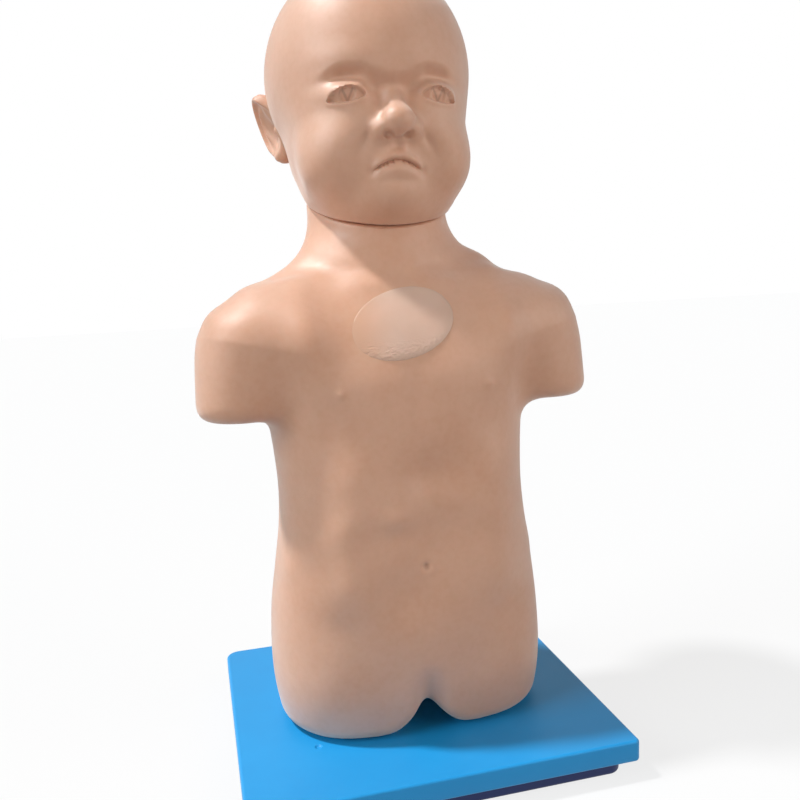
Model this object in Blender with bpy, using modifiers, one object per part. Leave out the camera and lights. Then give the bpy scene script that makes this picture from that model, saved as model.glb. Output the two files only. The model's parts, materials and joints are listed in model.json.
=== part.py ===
"""Child abdominal paracentesis trainer: a limbless vinyl manikin seated on a two-piece base.

Metres, +Z up. The origin is the centre of the base's underside, the manikin faces -Y and
+X is the viewer's right. Heights of the manikin are counted from the top of the base, drops down
from the neck joint and rises up from it.
"""

import math

import bmesh
import bpy
import numpy as np
from mathutils import Matrix, Vector

# Driving dimensions: base
BASE_WIDTH = 0.280
BASE_DEPTH = 0.247
BASE_TOP_HEIGHT = 0.016
BASE_BOTTOM_HEIGHT = 0.013
BASE_HEIGHT = BASE_TOP_HEIGHT + BASE_BOTTOM_HEIGHT
BASE_WALL = 0.003
BASE_CORNER_RADIUS = 0.011
BASE_FRONT_CORNER_RADIUS = 0.004
BASE_TOP_EDGE = 0.002
TRAY_INSET = 0.009
TRAY_CORNER_RADIUS = 0.010
TRAY_BOTTOM_EDGE = 0.003
RIB_THICKNESS = 0.0025
RIB_PITCH = 0.052
DIMPLE_OFFSET = -0.0826
DIMPLE_SETBACK = -0.0578
DIMPLE_RADIUS = 0.0028
DIMPLE_DEPTH = 0.0012

# Driving dimensions: fits and fasteners
GAP = 0.0003
SCREW_CLEARANCE = 0.0004
SCREW_RADIUS = 0.0020
SCREW_HEAD_RADIUS = 0.0036
SCREW_HEAD_HEIGHT = 0.0022
BOSS_RADIUS = 0.0065
BASE_SCREW_INSET = 0.030
BOLT_RADIUS = 0.0030
BOLT_HEAD_RADIUS = 0.0055
BOLT_HEAD_HEIGHT = 0.0035
SCREW_SIDES = 8
CUT_OVERRUN = 0.0100
SHORT_OVERRUN = 0.0010
SCREW_SINK = 0.0028
BASE_SCREW_LENGTH = 0.020
BOLT_LENGTH = 0.042
BOLT_END_GAP = 0.002
PLATE_SCREW_LENGTH = 0.016
CRADLE_SCREW_LENGTH = 0.008
COVER_SCREW_LENGTH = 0.012

# Driving dimensions: vinyl skin
SKIN_WALL = 0.004
HEAD_WALL = 0.0035
SKIN_CELL = 0.0055
SKIN_KEEP = 0.115
SKIN_LINING_CELL = 0.0110
SKIN_LINING_KEEP = 0.24
HEAD_CELL = 0.0040
HEAD_KEEP = 0.120
HEAD_LINING_CELL = 0.0090
HEAD_LINING_KEEP = 0.28
SEARCH_MARGIN = 0.016
SEARCH_DEPTH = 0.060
SEARCH_STEP = 0.020
SLIVER = 0.00002

# Driving dimensions: trunk, as sections at shares of the neck joint's height
JOINT_HEIGHT = 0.3903
SECTION_SHARES = [0.000, 0.077, 0.154, 0.231, 0.307, 0.384, 0.461, 0.538, 0.615, 0.692, 0.769, 0.833, 0.884]
HALF_WIDTHS = [0.094, 0.100, 0.103, 0.104, 0.100, 0.0955, 0.0935, 0.095, 0.098, 0.100, 0.094, 0.076, 0.058]
FRONT_DEPTHS = [0.068, 0.0715, 0.0735, 0.0755, 0.077, 0.0775, 0.0765, 0.075, 0.073, 0.069, 0.058, 0.042, 0.030]
BACK_DEPTHS = [0.060, 0.067, 0.071, 0.071, 0.068, 0.066, 0.068, 0.072, 0.077, 0.080, 0.080, 0.074, 0.066]
SECTION_POWER = 2.35
TRUNK_TOP_DROP = 0.0523
TRUNK_TOP_ROUND = 0.020
SHOULDER_SPACING = 0.104
SHOULDER_SETBACK = -0.008
SHOULDER_DROP = 0.1038
SHOULDER_RADIUS = 0.0445
ARM_END_SPACING = 0.1235
ARM_END_SETBACK = -0.018
ARM_END_DROP = 0.1753
ARM_END_RADIUS = 0.0280
ARM_CUT_DROP = 0.1518
ARM_CUT_ROUND = 0.014
ARM_BLEND = 0.016
TRAPEZIUS_INNER_SPACING = 0.030
TRAPEZIUS_INNER_SETBACK = 0.030
TRAPEZIUS_INNER_DROP = 0.0523
TRAPEZIUS_OUTER_SPACING = 0.092
TRAPEZIUS_OUTER_SETBACK = 0.006
TRAPEZIUS_OUTER_DROP = 0.0913
TRAPEZIUS_INNER_RADIUS = 0.030
TRAPEZIUS_OUTER_RADIUS = 0.031
TRAPEZIUS_BLEND = 0.020
THIGH_SPACING = 0.0530
THIGH_SETBACK = -0.003
THIGH_CENTRE_HEIGHT = 0.040
THIGH_RADII = (0.0505, 0.062, 0.085)
THIGH_BLEND = 0.014
ARCH_HALF_WIDTH = 0.020
ARCH_HEIGHT = 0.013
ARCH_ROUND = 0.010
SEAT_ROUND = 0.016
NECK_RADIUS = 0.056
NECK_CENTRE_Y = 0.026
NECK_BOTTOM_DROP = 0.0903
NECK_BLEND = 0.022

# Driving dimensions: neck joint, whose plane tips down towards the chin
JOINT_TILT = math.radians(21.0)
JOINT_GAP = 0.0008
JOINT_OVERRUN = 0.0120
JOINT_CUT_DEPTH = 0.0600
JOINT_CUT_RADIUS = 0.1400
JOINT_HOLE_START = 0.0150
JOINT_HOLE_LENGTH = 0.0300
SKIRT_RADIUS = 0.0570
SKIRT_HEIGHT = 0.020
SKIRT_BLEND = 0.010
NECK_HOLE_RADIUS = 0.0380
DISC_FLANGE_RADIUS = 0.0420
DISC_FLANGE_THICKNESS = 0.0030
DISC_PLUG_DEPTH = 0.0100
HEAD_HOLE_RADIUS = 0.0435
HEAD_DISC_RADIUS = 0.0480
HEAD_DISC_THICKNESS = 0.0030
HEAD_SEAT_CLEARANCE = 0.0010
HEAD_SEAT_DEPTH = 0.0080
HUB_RADIUS = 0.0150
PIVOT_RADIUS = 0.0050
PIVOT_CLEARANCE = 0.0004
PIVOT_HEAD_RADIUS = 0.0085
PIVOT_HEAD_HEIGHT = 0.0050
PIVOT_END = 0.0180
PIVOT_CHAMFER = 0.0010
WASHER_RADIUS = 0.0110
WASHER_THICKNESS = 0.0016
NUT_RADIUS = 0.0085
NUT_HEIGHT = 0.0060

# Driving dimensions: head, as places across, back and up from the neck joint's height
HEAD_CENTRE_Y = 0.047
CRANIUM_RISE = 0.0957
CRANIUM_RADII = (0.0785, 0.092, 0.085)
FACE_CENTRE = (0.0, 0.005, 0.0467)
FACE_RADII = (0.0590, 0.048, 0.060)
FACE_BLEND = 0.024
LOW_CENTRE = (0.0, 0.039, 0.0317)
LOW_RADII = (0.0615, 0.060, 0.048)
LOW_BLEND = 0.018
JAW_CENTRE = (0.0, -0.013, 0.0087)
JAW_RADII = (0.030, 0.032, 0.026)
JAW_BLEND = 0.016
CHEEK_CENTRE = (0.0345, -0.005, 0.0277)
CHEEK_RADII = (0.0275, 0.028, 0.028)
CHEEK_BLEND = 0.014
NAPE_ROUND = 0.016
SOCKET_CENTRE = (0.0300, -0.051, 0.0707)
SOCKET_RADII = (0.016, 0.012, 0.008)
SOCKET_BLEND = 0.010
NOSE_TOP = (0.0, -0.029, 0.0657)
NOSE_TOP_RADIUS = 0.006
NOSE_TIP = (0.0, -0.0455, 0.0502)
NOSE_TIP_RADIUS = 0.0095
NOSE_BLEND = 0.010
LIPS_CENTRE = (0.0, -0.041, 0.0242)
LIPS_RADII = (0.018, 0.007, 0.008)
LIPS_BLEND = 0.006
EAR_CENTRE = (0.0755, 0.060, 0.0607)
EAR_RADII = (0.0060, 0.0145, 0.0270)
EAR_BLEND = 0.006

# Driving dimensions: inner carrier and fluid parts
BLOCK_HALF_WIDTH = 0.024
BLOCK_HALF_DEPTH = 0.030
BLOCK_HEIGHT = 0.040
BLOCK_CORNER_RADIUS = 0.010
BOLT_SPREAD = 0.018
BLOCK_SEAT_CLEARANCE = 0.0010
BLOCK_SEAT_DEPTH = 0.0120
PLATE_THICKNESS = 0.004
PLATE_CORNER_RADIUS = 0.006
PLATE_HALF_WIDTH = 0.060
PLATE_FRONT = -0.0525
PLATE_BACK = 0.036
CRADLE_WALL = 0.0025
CRADLE_HALF_WIDTH = 0.056
CRADLE_FRONT = -0.0515
CRADLE_BACK = 0.010
CRADLE_SIDE_HEIGHT = 0.024
PAD_FRAME_TOP = 0.172
PAD_WINDOW_HALF_WIDTH = 0.040
PAD_WINDOW_BOTTOM = 0.098
PAD_WINDOW_TOP = 0.160
PAD_HALF_WIDTH = 0.052
PAD_BOTTOM = 0.090
PAD_TOP = 0.168
PAD_SKIN_GAP = 0.0016
CRADLE_SCREW_SPACING = 0.025
CRADLE_SCREW_SETBACK = -0.020
PLATE_SCREW_SETBACK = 0.018
BLADDER_HEIGHT = 0.108
BLADDER_SLACK = 0.0008
BLADDER_ROUNDING = 0.010
TUBE_RADIUS = 0.0030
TUBE_BEND = 0.0165
PORT_OFFSET = 0.030
PORT_RISE = 0.026
PORT_BARREL_RADIUS = 0.0048
PORT_BORE_RADIUS = 0.0022
PORT_FLANGE_RADIUS = 0.0080
PORT_FLANGE_THICKNESS = 0.0020
PORT_NECK_HEIGHT = 0.0040
PORT_DEPTH = 0.0200
CAP_PLUG_LENGTH = 0.0050
CAP_RADIUS = 0.0070
CAP_HEIGHT = 0.0060

# Driving dimensions: back cover and chest patch
COVER_HALF_WIDTH = 0.050
COVER_HALF_HEIGHT = 0.055
COVER_CENTRE_HEIGHT = 0.150
COVER_POWER = 4.0
COVER_THICKNESS = 0.0055
COVER_CLEARANCE = 0.0005
COVER_SINK = 0.0002
COVER_SCREW_INSET = 0.013
COVER_LIP = 0.010
COVER_HOLE_START = 0.005
COVER_HOLE_LENGTH = 0.016
FRAME_HOLE_LENGTH = 0.020
FRAME_THICKNESS = 0.0030
FRAME_SETBACK = 0.0062
PATCH_OFFSET = -0.004
PATCH_DROP = 0.0873
PATCH_HALF_WIDTH = 0.038
PATCH_HALF_HEIGHT = 0.0235
PATCH_TURN = math.radians(15.0)
PATCH_THICKNESS = 0.0011
PATCH_LIFT = 0.0004


def new_collection(name):
    """A collection linked to the scene."""
    collection = bpy.data.collections.new(name)
    bpy.context.scene.collection.children.link(collection)
    return collection


def new_material(name, colour, roughness, metallic=0.0):
    """A Principled material with one colour."""
    material = bpy.data.materials.new(name)
    material.use_nodes = True
    shader = material.node_tree.nodes["Principled BSDF"]
    shader.inputs["Base Color"].default_value = (*colour, 1.0)
    shader.inputs["Roughness"].default_value = roughness
    shader.inputs["Metallic"].default_value = metallic
    return material


def new_object(name, mesh, material=None, place=None, parent=None):
    """Link a mesh as a visible piece, or as a hidden cutter when it has no material."""
    obj = bpy.data.objects.new(name, mesh)
    if material is None:
        CUTTERS.objects.link(obj)
        obj.hide_render = True
        obj.display_type = "WIRE"
    else:
        PARTS.objects.link(obj)
        mesh.materials.append(material)
    if parent is not None:
        obj.parent = parent
        obj.matrix_parent_inverse = parent.matrix_basis.inverted()
    if place is not None:
        obj.matrix_basis = place
    return obj


def finish_mesh(bm, name):
    """Write a bmesh to a mesh with its faces pointing out."""
    bmesh.ops.recalc_face_normals(bm, faces=bm.faces)
    mesh = bpy.data.meshes.new(name)
    bm.to_mesh(mesh)
    bm.free()
    return mesh


def box(name, low, high, material=None, corner=0.0, edge=0.0, edge_side=1, front_corner=None):
    """A box between two corners, with rounded upright corners and one softened rim.

    edge_side is 1 to soften the top rim and -1 for the bottom rim. front_corner is the radius of
    the two corners on the -Y side where it isn't the same as the others.
    """
    low, high = Vector(low), Vector(high)
    size = high - low
    bm = bmesh.new()
    bmesh.ops.create_cube(bm, size=1.0)
    bmesh.ops.scale(bm, vec=size, verts=bm.verts)
    if corner:
        upright = [e for e in bm.edges if abs(e.verts[0].co.z - e.verts[1].co.z) > size.z / 2]
        front = [e for e in upright if e.verts[0].co.y < 0]
        rear = [e for e in upright if e.verts[0].co.y > 0]
        for corners, radius in ((front, corner if front_corner is None else front_corner), (rear, corner)):
            bmesh.ops.bevel(bm, geom=corners, offset=radius, segments=4, profile=0.5, affect="EDGES")
    if edge:
        level = size.z / 2 * edge_side
        rim = [e for e in bm.edges if all(abs(v.co.z - level) < 1e-6 for v in e.verts)]
        bmesh.ops.bevel(bm, geom=rim, offset=edge, segments=2, profile=0.5, affect="EDGES")
    return new_object(name, finish_mesh(bm, name), material, Matrix.Translation((low + high) / 2))


def turned(name, profile, material=None, sides=24, place=None, parent=None):
    """A closed turned solid about Z, from (radius, height) points that run round its section."""
    bm = bmesh.new()
    rings = []
    for radius, height in profile:
        if radius < 1e-7:
            rings.append([bm.verts.new((0.0, 0.0, height))])
            continue
        angles = [2 * math.pi * k / sides for k in range(sides)]
        rings.append([bm.verts.new((radius * math.cos(a), radius * math.sin(a), height)) for a in angles])
    pairs = list(zip(rings, rings[1:]))
    if profile[0][0] > 1e-7:
        pairs.append((rings[-1], rings[0]))
    for lower, upper in pairs:
        for k in range(sides):
            n = (k + 1) % sides
            corners = [lower[k % len(lower)], lower[n % len(lower)],
                       upper[n % len(upper)], upper[k % len(upper)]]
            bm.faces.new(list(dict.fromkeys(corners)))
    return new_object(name, finish_mesh(bm, name), material, place, parent)


def boolean(target, cutter, operation="DIFFERENCE"):
    """Cut a piece by another, or join the other to it, with a live modifier."""
    modifier = target.modifiers.new(cutter.name, "BOOLEAN")
    modifier.operation = operation
    modifier.object = cutter
    modifier.solver = "EXACT"


def close_slivers(obj):
    """Merge the coincident points that cuts leave in a skin, with a live modifier."""
    merge = obj.modifiers.new("close_slivers", "WELD")
    merge.merge_threshold = SLIVER


def along(point, direction):
    """The placement that turns +Z to a direction and moves the origin to a point."""
    turn = Vector((0, 0, 1)).rotation_difference(Vector(direction).normalized()).to_matrix().to_4x4()
    return Matrix.Translation(Vector(point)) @ turn


def screw(name, seat, direction, length, material, radius=SCREW_RADIUS, head_radius=SCREW_HEAD_RADIUS,
          head_height=SCREW_HEAD_HEIGHT):
    """A pan-head screw whose head seats at a point and whose shank runs along a direction."""
    profile = [
        (0.0, -head_height),
        (head_radius * 0.7, -head_height),
        (head_radius, -head_height * 0.45),
        (head_radius, 0.0),
        (radius, 0.0),
        (radius, length - radius),
        (radius * 0.35, length),
        (0.0, length),
    ]
    return turned(name, profile, material, SCREW_SIDES, along(seat, direction))


def hole(name, point, direction, length, radius, sides=SCREW_SIDES):
    """A round cutter that starts at a point and runs along a direction."""
    profile = [(0.0, 0.0), (radius, 0.0), (radius, length), (0.0, length)]
    return turned(name, profile, None, sides, along(point, direction))


def curve_through(share, knots, values):
    """Cubic curve through (knot, value) pairs, with the mean slope at each knot."""
    knots = np.asarray(knots)
    values = np.asarray(values)
    slopes = np.gradient(values, knots)
    share = np.clip(share, knots[0], knots[-1])
    index = np.clip(np.searchsorted(knots, share) - 1, 0, len(knots) - 2)
    span = knots[index + 1] - knots[index]
    t = (share - knots[index]) / span
    start = (2 * t**3 - 3 * t**2 + 1) * values[index] + (t**3 - 2 * t**2 + t) * span * slopes[index]
    end = (3 * t**2 - 2 * t**3) * values[index + 1] + (t**3 - t**2) * span * slopes[index + 1]
    return start + end


def smooth_min(a, b, reach):
    """The smaller of two distances, blended over a reach, which joins two forms with a fillet."""
    h = np.clip(0.5 + 0.5 * (b - a) / reach, 0, 1)
    return b * (1 - h) + a * h - reach * h * (1 - h)


def smooth_max(a, b, reach):
    """The larger of two distances, blended over a reach, which cuts a form with a rounded edge."""
    return -smooth_min(-a, -b, reach)


def ellipsoid(p, centre, radii):
    """Distance to an ellipsoid, nearly true close to its surface."""
    q = p - np.asarray(centre)
    radii = np.asarray(radii)
    k0 = np.linalg.norm(q / radii, axis=-1)
    k1 = np.linalg.norm(q / radii**2, axis=-1)
    return k0 * (k0 - 1) / np.maximum(k1, 1e-9)


def round_cone(p, start, end, start_radius, end_radius):
    """Distance to a round-ended cone between two points."""
    start, end = np.asarray(start), np.asarray(end)
    axis = end - start
    t = np.clip(((p - start) @ axis) / (axis @ axis), 0, 1)
    radius = start_radius + (end_radius - start_radius) * t
    return np.linalg.norm(p - (start + t[..., None] * axis), axis=-1) - radius


def mirrored(p):
    """The same points on the +X side, because the manikin is symmetric."""
    return np.stack([np.abs(p[..., 0]), p[..., 1], p[..., 2]], axis=-1)


def joint_level(p):
    """Height of points above the tipped plane of the neck joint, in manikin heights."""
    across = (p[..., 1] - NECK_CENTRE_Y) * math.sin(JOINT_TILT)
    return (p[..., 2] - JOINT_HEIGHT) * math.cos(JOINT_TILT) - across


def joint_across(p):
    """How far back points lie from the neck joint's axis, within its tipped plane."""
    up = (p[..., 2] - JOINT_HEIGHT) * math.sin(JOINT_TILT)
    return (p[..., 1] - NECK_CENTRE_Y) * math.cos(JOINT_TILT) + up


def trunk(p):
    """Distance to the trunk: a superellipse section swept up through the named sections."""
    x, y, z = p[..., 0], p[..., 1], p[..., 2]
    share = z / JOINT_HEIGHT
    half_width = curve_through(share, SECTION_SHARES, HALF_WIDTHS)
    front = curve_through(share, SECTION_SHARES, FRONT_DEPTHS)
    back = curve_through(share, SECTION_SHARES, BACK_DEPTHS)
    middle = (back - front) / 2
    half_depth = (back + front) / 2
    reach = np.abs(x / half_width) ** SECTION_POWER + np.abs((y - middle) / half_depth) ** SECTION_POWER
    distance = (reach ** (1 / SECTION_POWER) - 1) * np.minimum(half_width, half_depth)
    return smooth_max(distance, z - JOINT_HEIGHT + TRUNK_TOP_DROP, TRUNK_TOP_ROUND)


def torso(p):
    """Distance to the torso's outer skin, with arm and thigh stumps and the neck."""
    side = mirrored(p)
    shoulder = (SHOULDER_SPACING, SHOULDER_SETBACK, JOINT_HEIGHT - SHOULDER_DROP)
    arm_end = (ARM_END_SPACING, ARM_END_SETBACK, JOINT_HEIGHT - ARM_END_DROP)
    arm = round_cone(side, shoulder, arm_end, SHOULDER_RADIUS, ARM_END_RADIUS)
    arm = smooth_max(arm, JOINT_HEIGHT - ARM_CUT_DROP - side[..., 2], ARM_CUT_ROUND)
    inner = (TRAPEZIUS_INNER_SPACING, TRAPEZIUS_INNER_SETBACK, JOINT_HEIGHT - TRAPEZIUS_INNER_DROP)
    outer = (TRAPEZIUS_OUTER_SPACING, TRAPEZIUS_OUTER_SETBACK, JOINT_HEIGHT - TRAPEZIUS_OUTER_DROP)
    trapezius = round_cone(side, inner, outer, TRAPEZIUS_INNER_RADIUS, TRAPEZIUS_OUTER_RADIUS)
    thigh = ellipsoid(side, (THIGH_SPACING, THIGH_SETBACK, THIGH_CENTRE_HEIGHT), THIGH_RADII)
    neck = np.hypot(p[..., 0], p[..., 1] - NECK_CENTRE_Y) - NECK_RADIUS
    neck = smooth_max(neck, JOINT_HEIGHT - NECK_BOTTOM_DROP - p[..., 2], NECK_BLEND)
    arch = (np.hypot(p[..., 0] / ARCH_HALF_WIDTH, p[..., 2] / ARCH_HEIGHT) - 1) * ARCH_HEIGHT
    distance = smooth_min(trunk(p), arm, ARM_BLEND)
    distance = smooth_min(distance, trapezius, TRAPEZIUS_BLEND)
    distance = smooth_min(distance, thigh, THIGH_BLEND)
    distance = smooth_min(distance, neck, NECK_BLEND)
    distance = smooth_max(distance, -arch, ARCH_ROUND)
    distance = np.maximum(distance, joint_level(p) - JOINT_OVERRUN)
    return smooth_max(distance, -p[..., 2], SEAT_ROUND)


def above_joint(p):
    """The same points with their heights counted from the neck joint."""
    return p - np.array((0.0, 0.0, JOINT_HEIGHT))


def head_core(p):
    """Distance to the head without its small features: cranium, face, jaw, cheeks and neck skirt."""
    q = above_joint(p)
    cheek = ellipsoid(mirrored(q), CHEEK_CENTRE, CHEEK_RADII)
    skirt = np.hypot(p[..., 0], joint_across(p)) - SKIRT_RADIUS
    skirt = smooth_max(skirt, joint_level(p) - SKIRT_HEIGHT, SKIRT_BLEND)
    distance = ellipsoid(q, (0, HEAD_CENTRE_Y, CRANIUM_RISE), CRANIUM_RADII)
    distance = smooth_min(distance, ellipsoid(q, FACE_CENTRE, FACE_RADII), FACE_BLEND)
    distance = smooth_min(distance, ellipsoid(q, LOW_CENTRE, LOW_RADII), LOW_BLEND)
    distance = smooth_min(distance, ellipsoid(q, JAW_CENTRE, JAW_RADII), JAW_BLEND)
    distance = smooth_min(distance, cheek, CHEEK_BLEND)
    distance = smooth_max(distance, -joint_level(p), NAPE_ROUND)
    distance = smooth_min(distance, skirt, SKIRT_BLEND)
    return np.maximum(distance, -JOINT_OVERRUN - joint_level(p))


def head(p):
    """Distance to the head's outer skin: the core with eye sockets, nose, lips and ears."""
    q = above_joint(p)
    side = mirrored(q)
    socket = ellipsoid(side, SOCKET_CENTRE, SOCKET_RADII)
    nose = round_cone(q, NOSE_TOP, NOSE_TIP, NOSE_TOP_RADIUS, NOSE_TIP_RADIUS)
    distance = smooth_max(head_core(p), -socket, SOCKET_BLEND)
    distance = smooth_min(distance, nose, NOSE_BLEND)
    distance = smooth_min(distance, ellipsoid(q, LIPS_CENTRE, LIPS_RADII), LIPS_BLEND)
    return smooth_min(distance, ellipsoid(side, EAR_CENTRE, EAR_RADII), EAR_BLEND)


def inside_of(field, wall):
    """The same form shrunk by a wall."""
    return lambda p: field(p) + wall


def slope_of(field, p, step=1e-4):
    """The direction in which a distance grows, by central differences."""
    slope = np.empty_like(p)
    for axis in range(3):
        shift = np.zeros(3)
        shift[axis] = step
        slope[..., axis] = (field(p + shift) - field(p - shift)) / (2 * step)
    return slope


def settle(field, p, rounds=3):
    """Move points onto the surface of a field by Newton steps."""
    for _ in range(rounds):
        slope = slope_of(field, p)
        p = p - slope * (field(p) / np.maximum((slope**2).sum(-1), 1e-6))[..., None]
    return p


def cell_grid(field, low, high, cell):
    """Sample points and field values on a box of cubes that covers the form."""
    counts = np.ceil((np.asarray(high) - np.asarray(low)) / cell).astype(int) + 1
    ticks = [low[axis] + cell * np.arange(counts[axis]) for axis in range(3)]
    points = np.stack(np.meshgrid(*ticks, indexing="ij"), axis=-1)
    return points, field(points)


def surface_net(field, low, high, cell):
    """Quads over the surface of a field: one point in each crossed cube, one quad at each crossed edge."""
    points, values = cell_grid(field, low, high, cell)
    counts = values.shape
    solid = values < 0
    total = np.zeros([n - 1 for n in counts] + [3])
    crossings = np.zeros([n - 1 for n in counts])
    edges = []
    for axis in range(3):
        near = tuple(slice(0, n - (k == axis)) for k, n in enumerate(counts))
        far = tuple(slice(int(k == axis), n) for k, n in enumerate(counts))
        crossed = solid[near] != solid[far]
        share = np.where(crossed, values[near] / np.where(crossed, values[near] - values[far], 1.0), 0.0)
        meeting = points[near].copy()
        meeting[..., axis] += share * cell
        first, second = [k for k in range(3) if k != axis]
        for i in (0, 1):
            for j in (0, 1):
                window = [slice(None)] * 3
                window[first] = slice(i, i + counts[first] - 1)
                window[second] = slice(j, j + counts[second] - 1)
                here = crossed[tuple(window)]
                total += here[..., None] * meeting[tuple(window)]
                crossings += here
        edges.append((axis, first, second, crossed, solid[near]))
    active = crossings > 0
    number = np.full(active.shape, -1)
    number[active] = np.arange(active.sum())
    vertices = total[active] / crossings[active][:, None]
    quads = []
    for axis, first, second, crossed, inner in edges:
        index = np.argwhere(crossed)
        fits = (index[:, [first, second]] > 0).all(1)
        fits &= (index[:, first] < counts[first] - 1) & (index[:, second] < counts[second] - 1)
        index = index[fits]
        corners = []
        for i, j in ((1, 1), (0, 1), (0, 0), (1, 0)):
            cube = index.copy()
            cube[:, first] -= i
            cube[:, second] -= j
            corners.append(number[tuple(cube.T)])
        ring = np.stack(corners, axis=1)
        backwards = inner[tuple(index.T)] == (axis == 1)
        ring[backwards] = ring[backwards][:, ::-1]
        quads.append(ring)
    return settle(field, vertices), np.concatenate(quads)


def field_object(name, field, low, high, cell, keep, material=None, parent=None):
    """A closed skin over a field, thinned to a share of its facets and lifted onto the base."""
    vertices, quads = surface_net(field, low, high, cell)
    mesh = bpy.data.meshes.new(name)
    mesh.from_pydata(vertices.tolist(), [], quads.tolist())
    obj = new_object(name, mesh, material, Matrix.Translation((0, 0, BASE_HEIGHT)), parent)
    thin = obj.modifiers.new("thin", "DECIMATE")
    thin.ratio = keep
    return obj


def depth_at(field, x, z, outwards):
    """The y of a field's surface over points (x, z), on the +Y side or the -Y side."""
    y = np.full(np.shape(x), SEARCH_DEPTH * outwards)
    for _ in range(40):
        p = np.stack([x, y, z], axis=-1)
        y = y - np.clip(field(p), -SEARCH_STEP, SEARCH_STEP) * outwards
    return y


def skin_point(x, z, outwards):
    """A point of the torso's surface in world place, and the surface's outward normal there."""
    y = depth_at(torso, np.array([x]), np.array([z]), outwards)
    p = np.stack([np.array([x]), y, np.array([z])], axis=-1)
    normal = Vector(slope_of(torso, p)[0]).normalized()
    return Vector((x, y[0], z + BASE_HEIGHT)), normal


def rounded_outline(half_width, half_height, power, sides):
    """Points of a superellipse, from a rounded square at a high power to an ellipse at 2."""
    angle = 2 * np.pi * np.arange(sides) / sides
    c, s = np.cos(angle), np.sin(angle)
    x = half_width * np.sign(c) * np.abs(c) ** (2 / power)
    z = half_height * np.sign(s) * np.abs(s) ** (2 / power)
    return x, z


def plate_mesh(name, x, z, near, far, filled):
    """A closed plate between two sheets of rings; filled closes the middle, else it stays a hole."""
    bm = bmesh.new()
    sheets = []
    for y in (near, far):
        rows = []
        for r in range(len(x)):
            rows.append([bm.verts.new(point) for point in zip(x[r], y[r], z[r] + BASE_HEIGHT)])
        sheets.append(rows)
    sides = x.shape[1]
    strips = [pair for rows in sheets for pair in zip(rows, rows[1:])]
    strips.append((sheets[0][-1], sheets[1][-1]))
    if filled:
        for rows in sheets:
            bm.faces.new(rows[0])
    else:
        strips.append((sheets[0][0], sheets[1][0]))
    for inner, outer in strips:
        for k in range(sides):
            n = (k + 1) % sides
            bm.faces.new((inner[k], inner[n], outer[n], outer[k]))
    return finish_mesh(bm, name)


def skin_plate(name, centre, outline, rings, levels, outwards, material, turn=0.0):
    """A plate that follows the torso, between two offsets from its surface along Y.

    rings are shares of the outline from the middle out. levels count outwards from the skin.
    """
    x0, z0 = outline
    x = centre[0] + np.outer(rings, x0 * math.cos(turn) - z0 * math.sin(turn))
    z = centre[1] + np.outer(rings, x0 * math.sin(turn) + z0 * math.cos(turn))
    y = depth_at(torso, x, z, outwards)
    mesh = plate_mesh(name, x, z, y + levels[0] * outwards, y + levels[1] * outwards, rings[0] < 0.3)
    return new_object(name, mesh, material)


def smooth_route(points, steps):
    """Points on a Catmull-Rom curve through the given points."""
    points = [Vector(p) for p in points]
    padded = [2 * points[0] - points[1], *points, 2 * points[-1] - points[-2]]
    route = []
    for a, b, c, d in zip(padded, padded[1:], padded[2:], padded[3:]):
        for k in range(steps):
            t = k / steps
            route.append(0.5 * (2 * b + (c - a) * t + (2 * a - 5 * b + 4 * c - d) * t**2
                                + (3 * b - a - 3 * c + d) * t**3))
    route.append(points[-1])
    return route


def base_screw_places():
    """Plan places of the four screws that close the base."""
    x = BASE_WIDTH / 2 - BASE_SCREW_INSET
    y = BASE_DEPTH / 2 - BASE_SCREW_INSET
    return [(i * x, j * y) for i in (-1, 1) for j in (-1, 1)]


def torso_bolt_places():
    """Plan places of the four bolts that hold the thigh stumps."""
    return [(i * THIGH_SPACING, THIGH_SETBACK + j * BOLT_SPREAD) for i in (-1, 1) for j in (-1, 1)]


def cradle_screw_places():
    """Plan places of the two screws that hold the bladder cradle."""
    return [(i * CRADLE_SCREW_SPACING, CRADLE_SCREW_SETBACK) for i in (-1, 1)]


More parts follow.
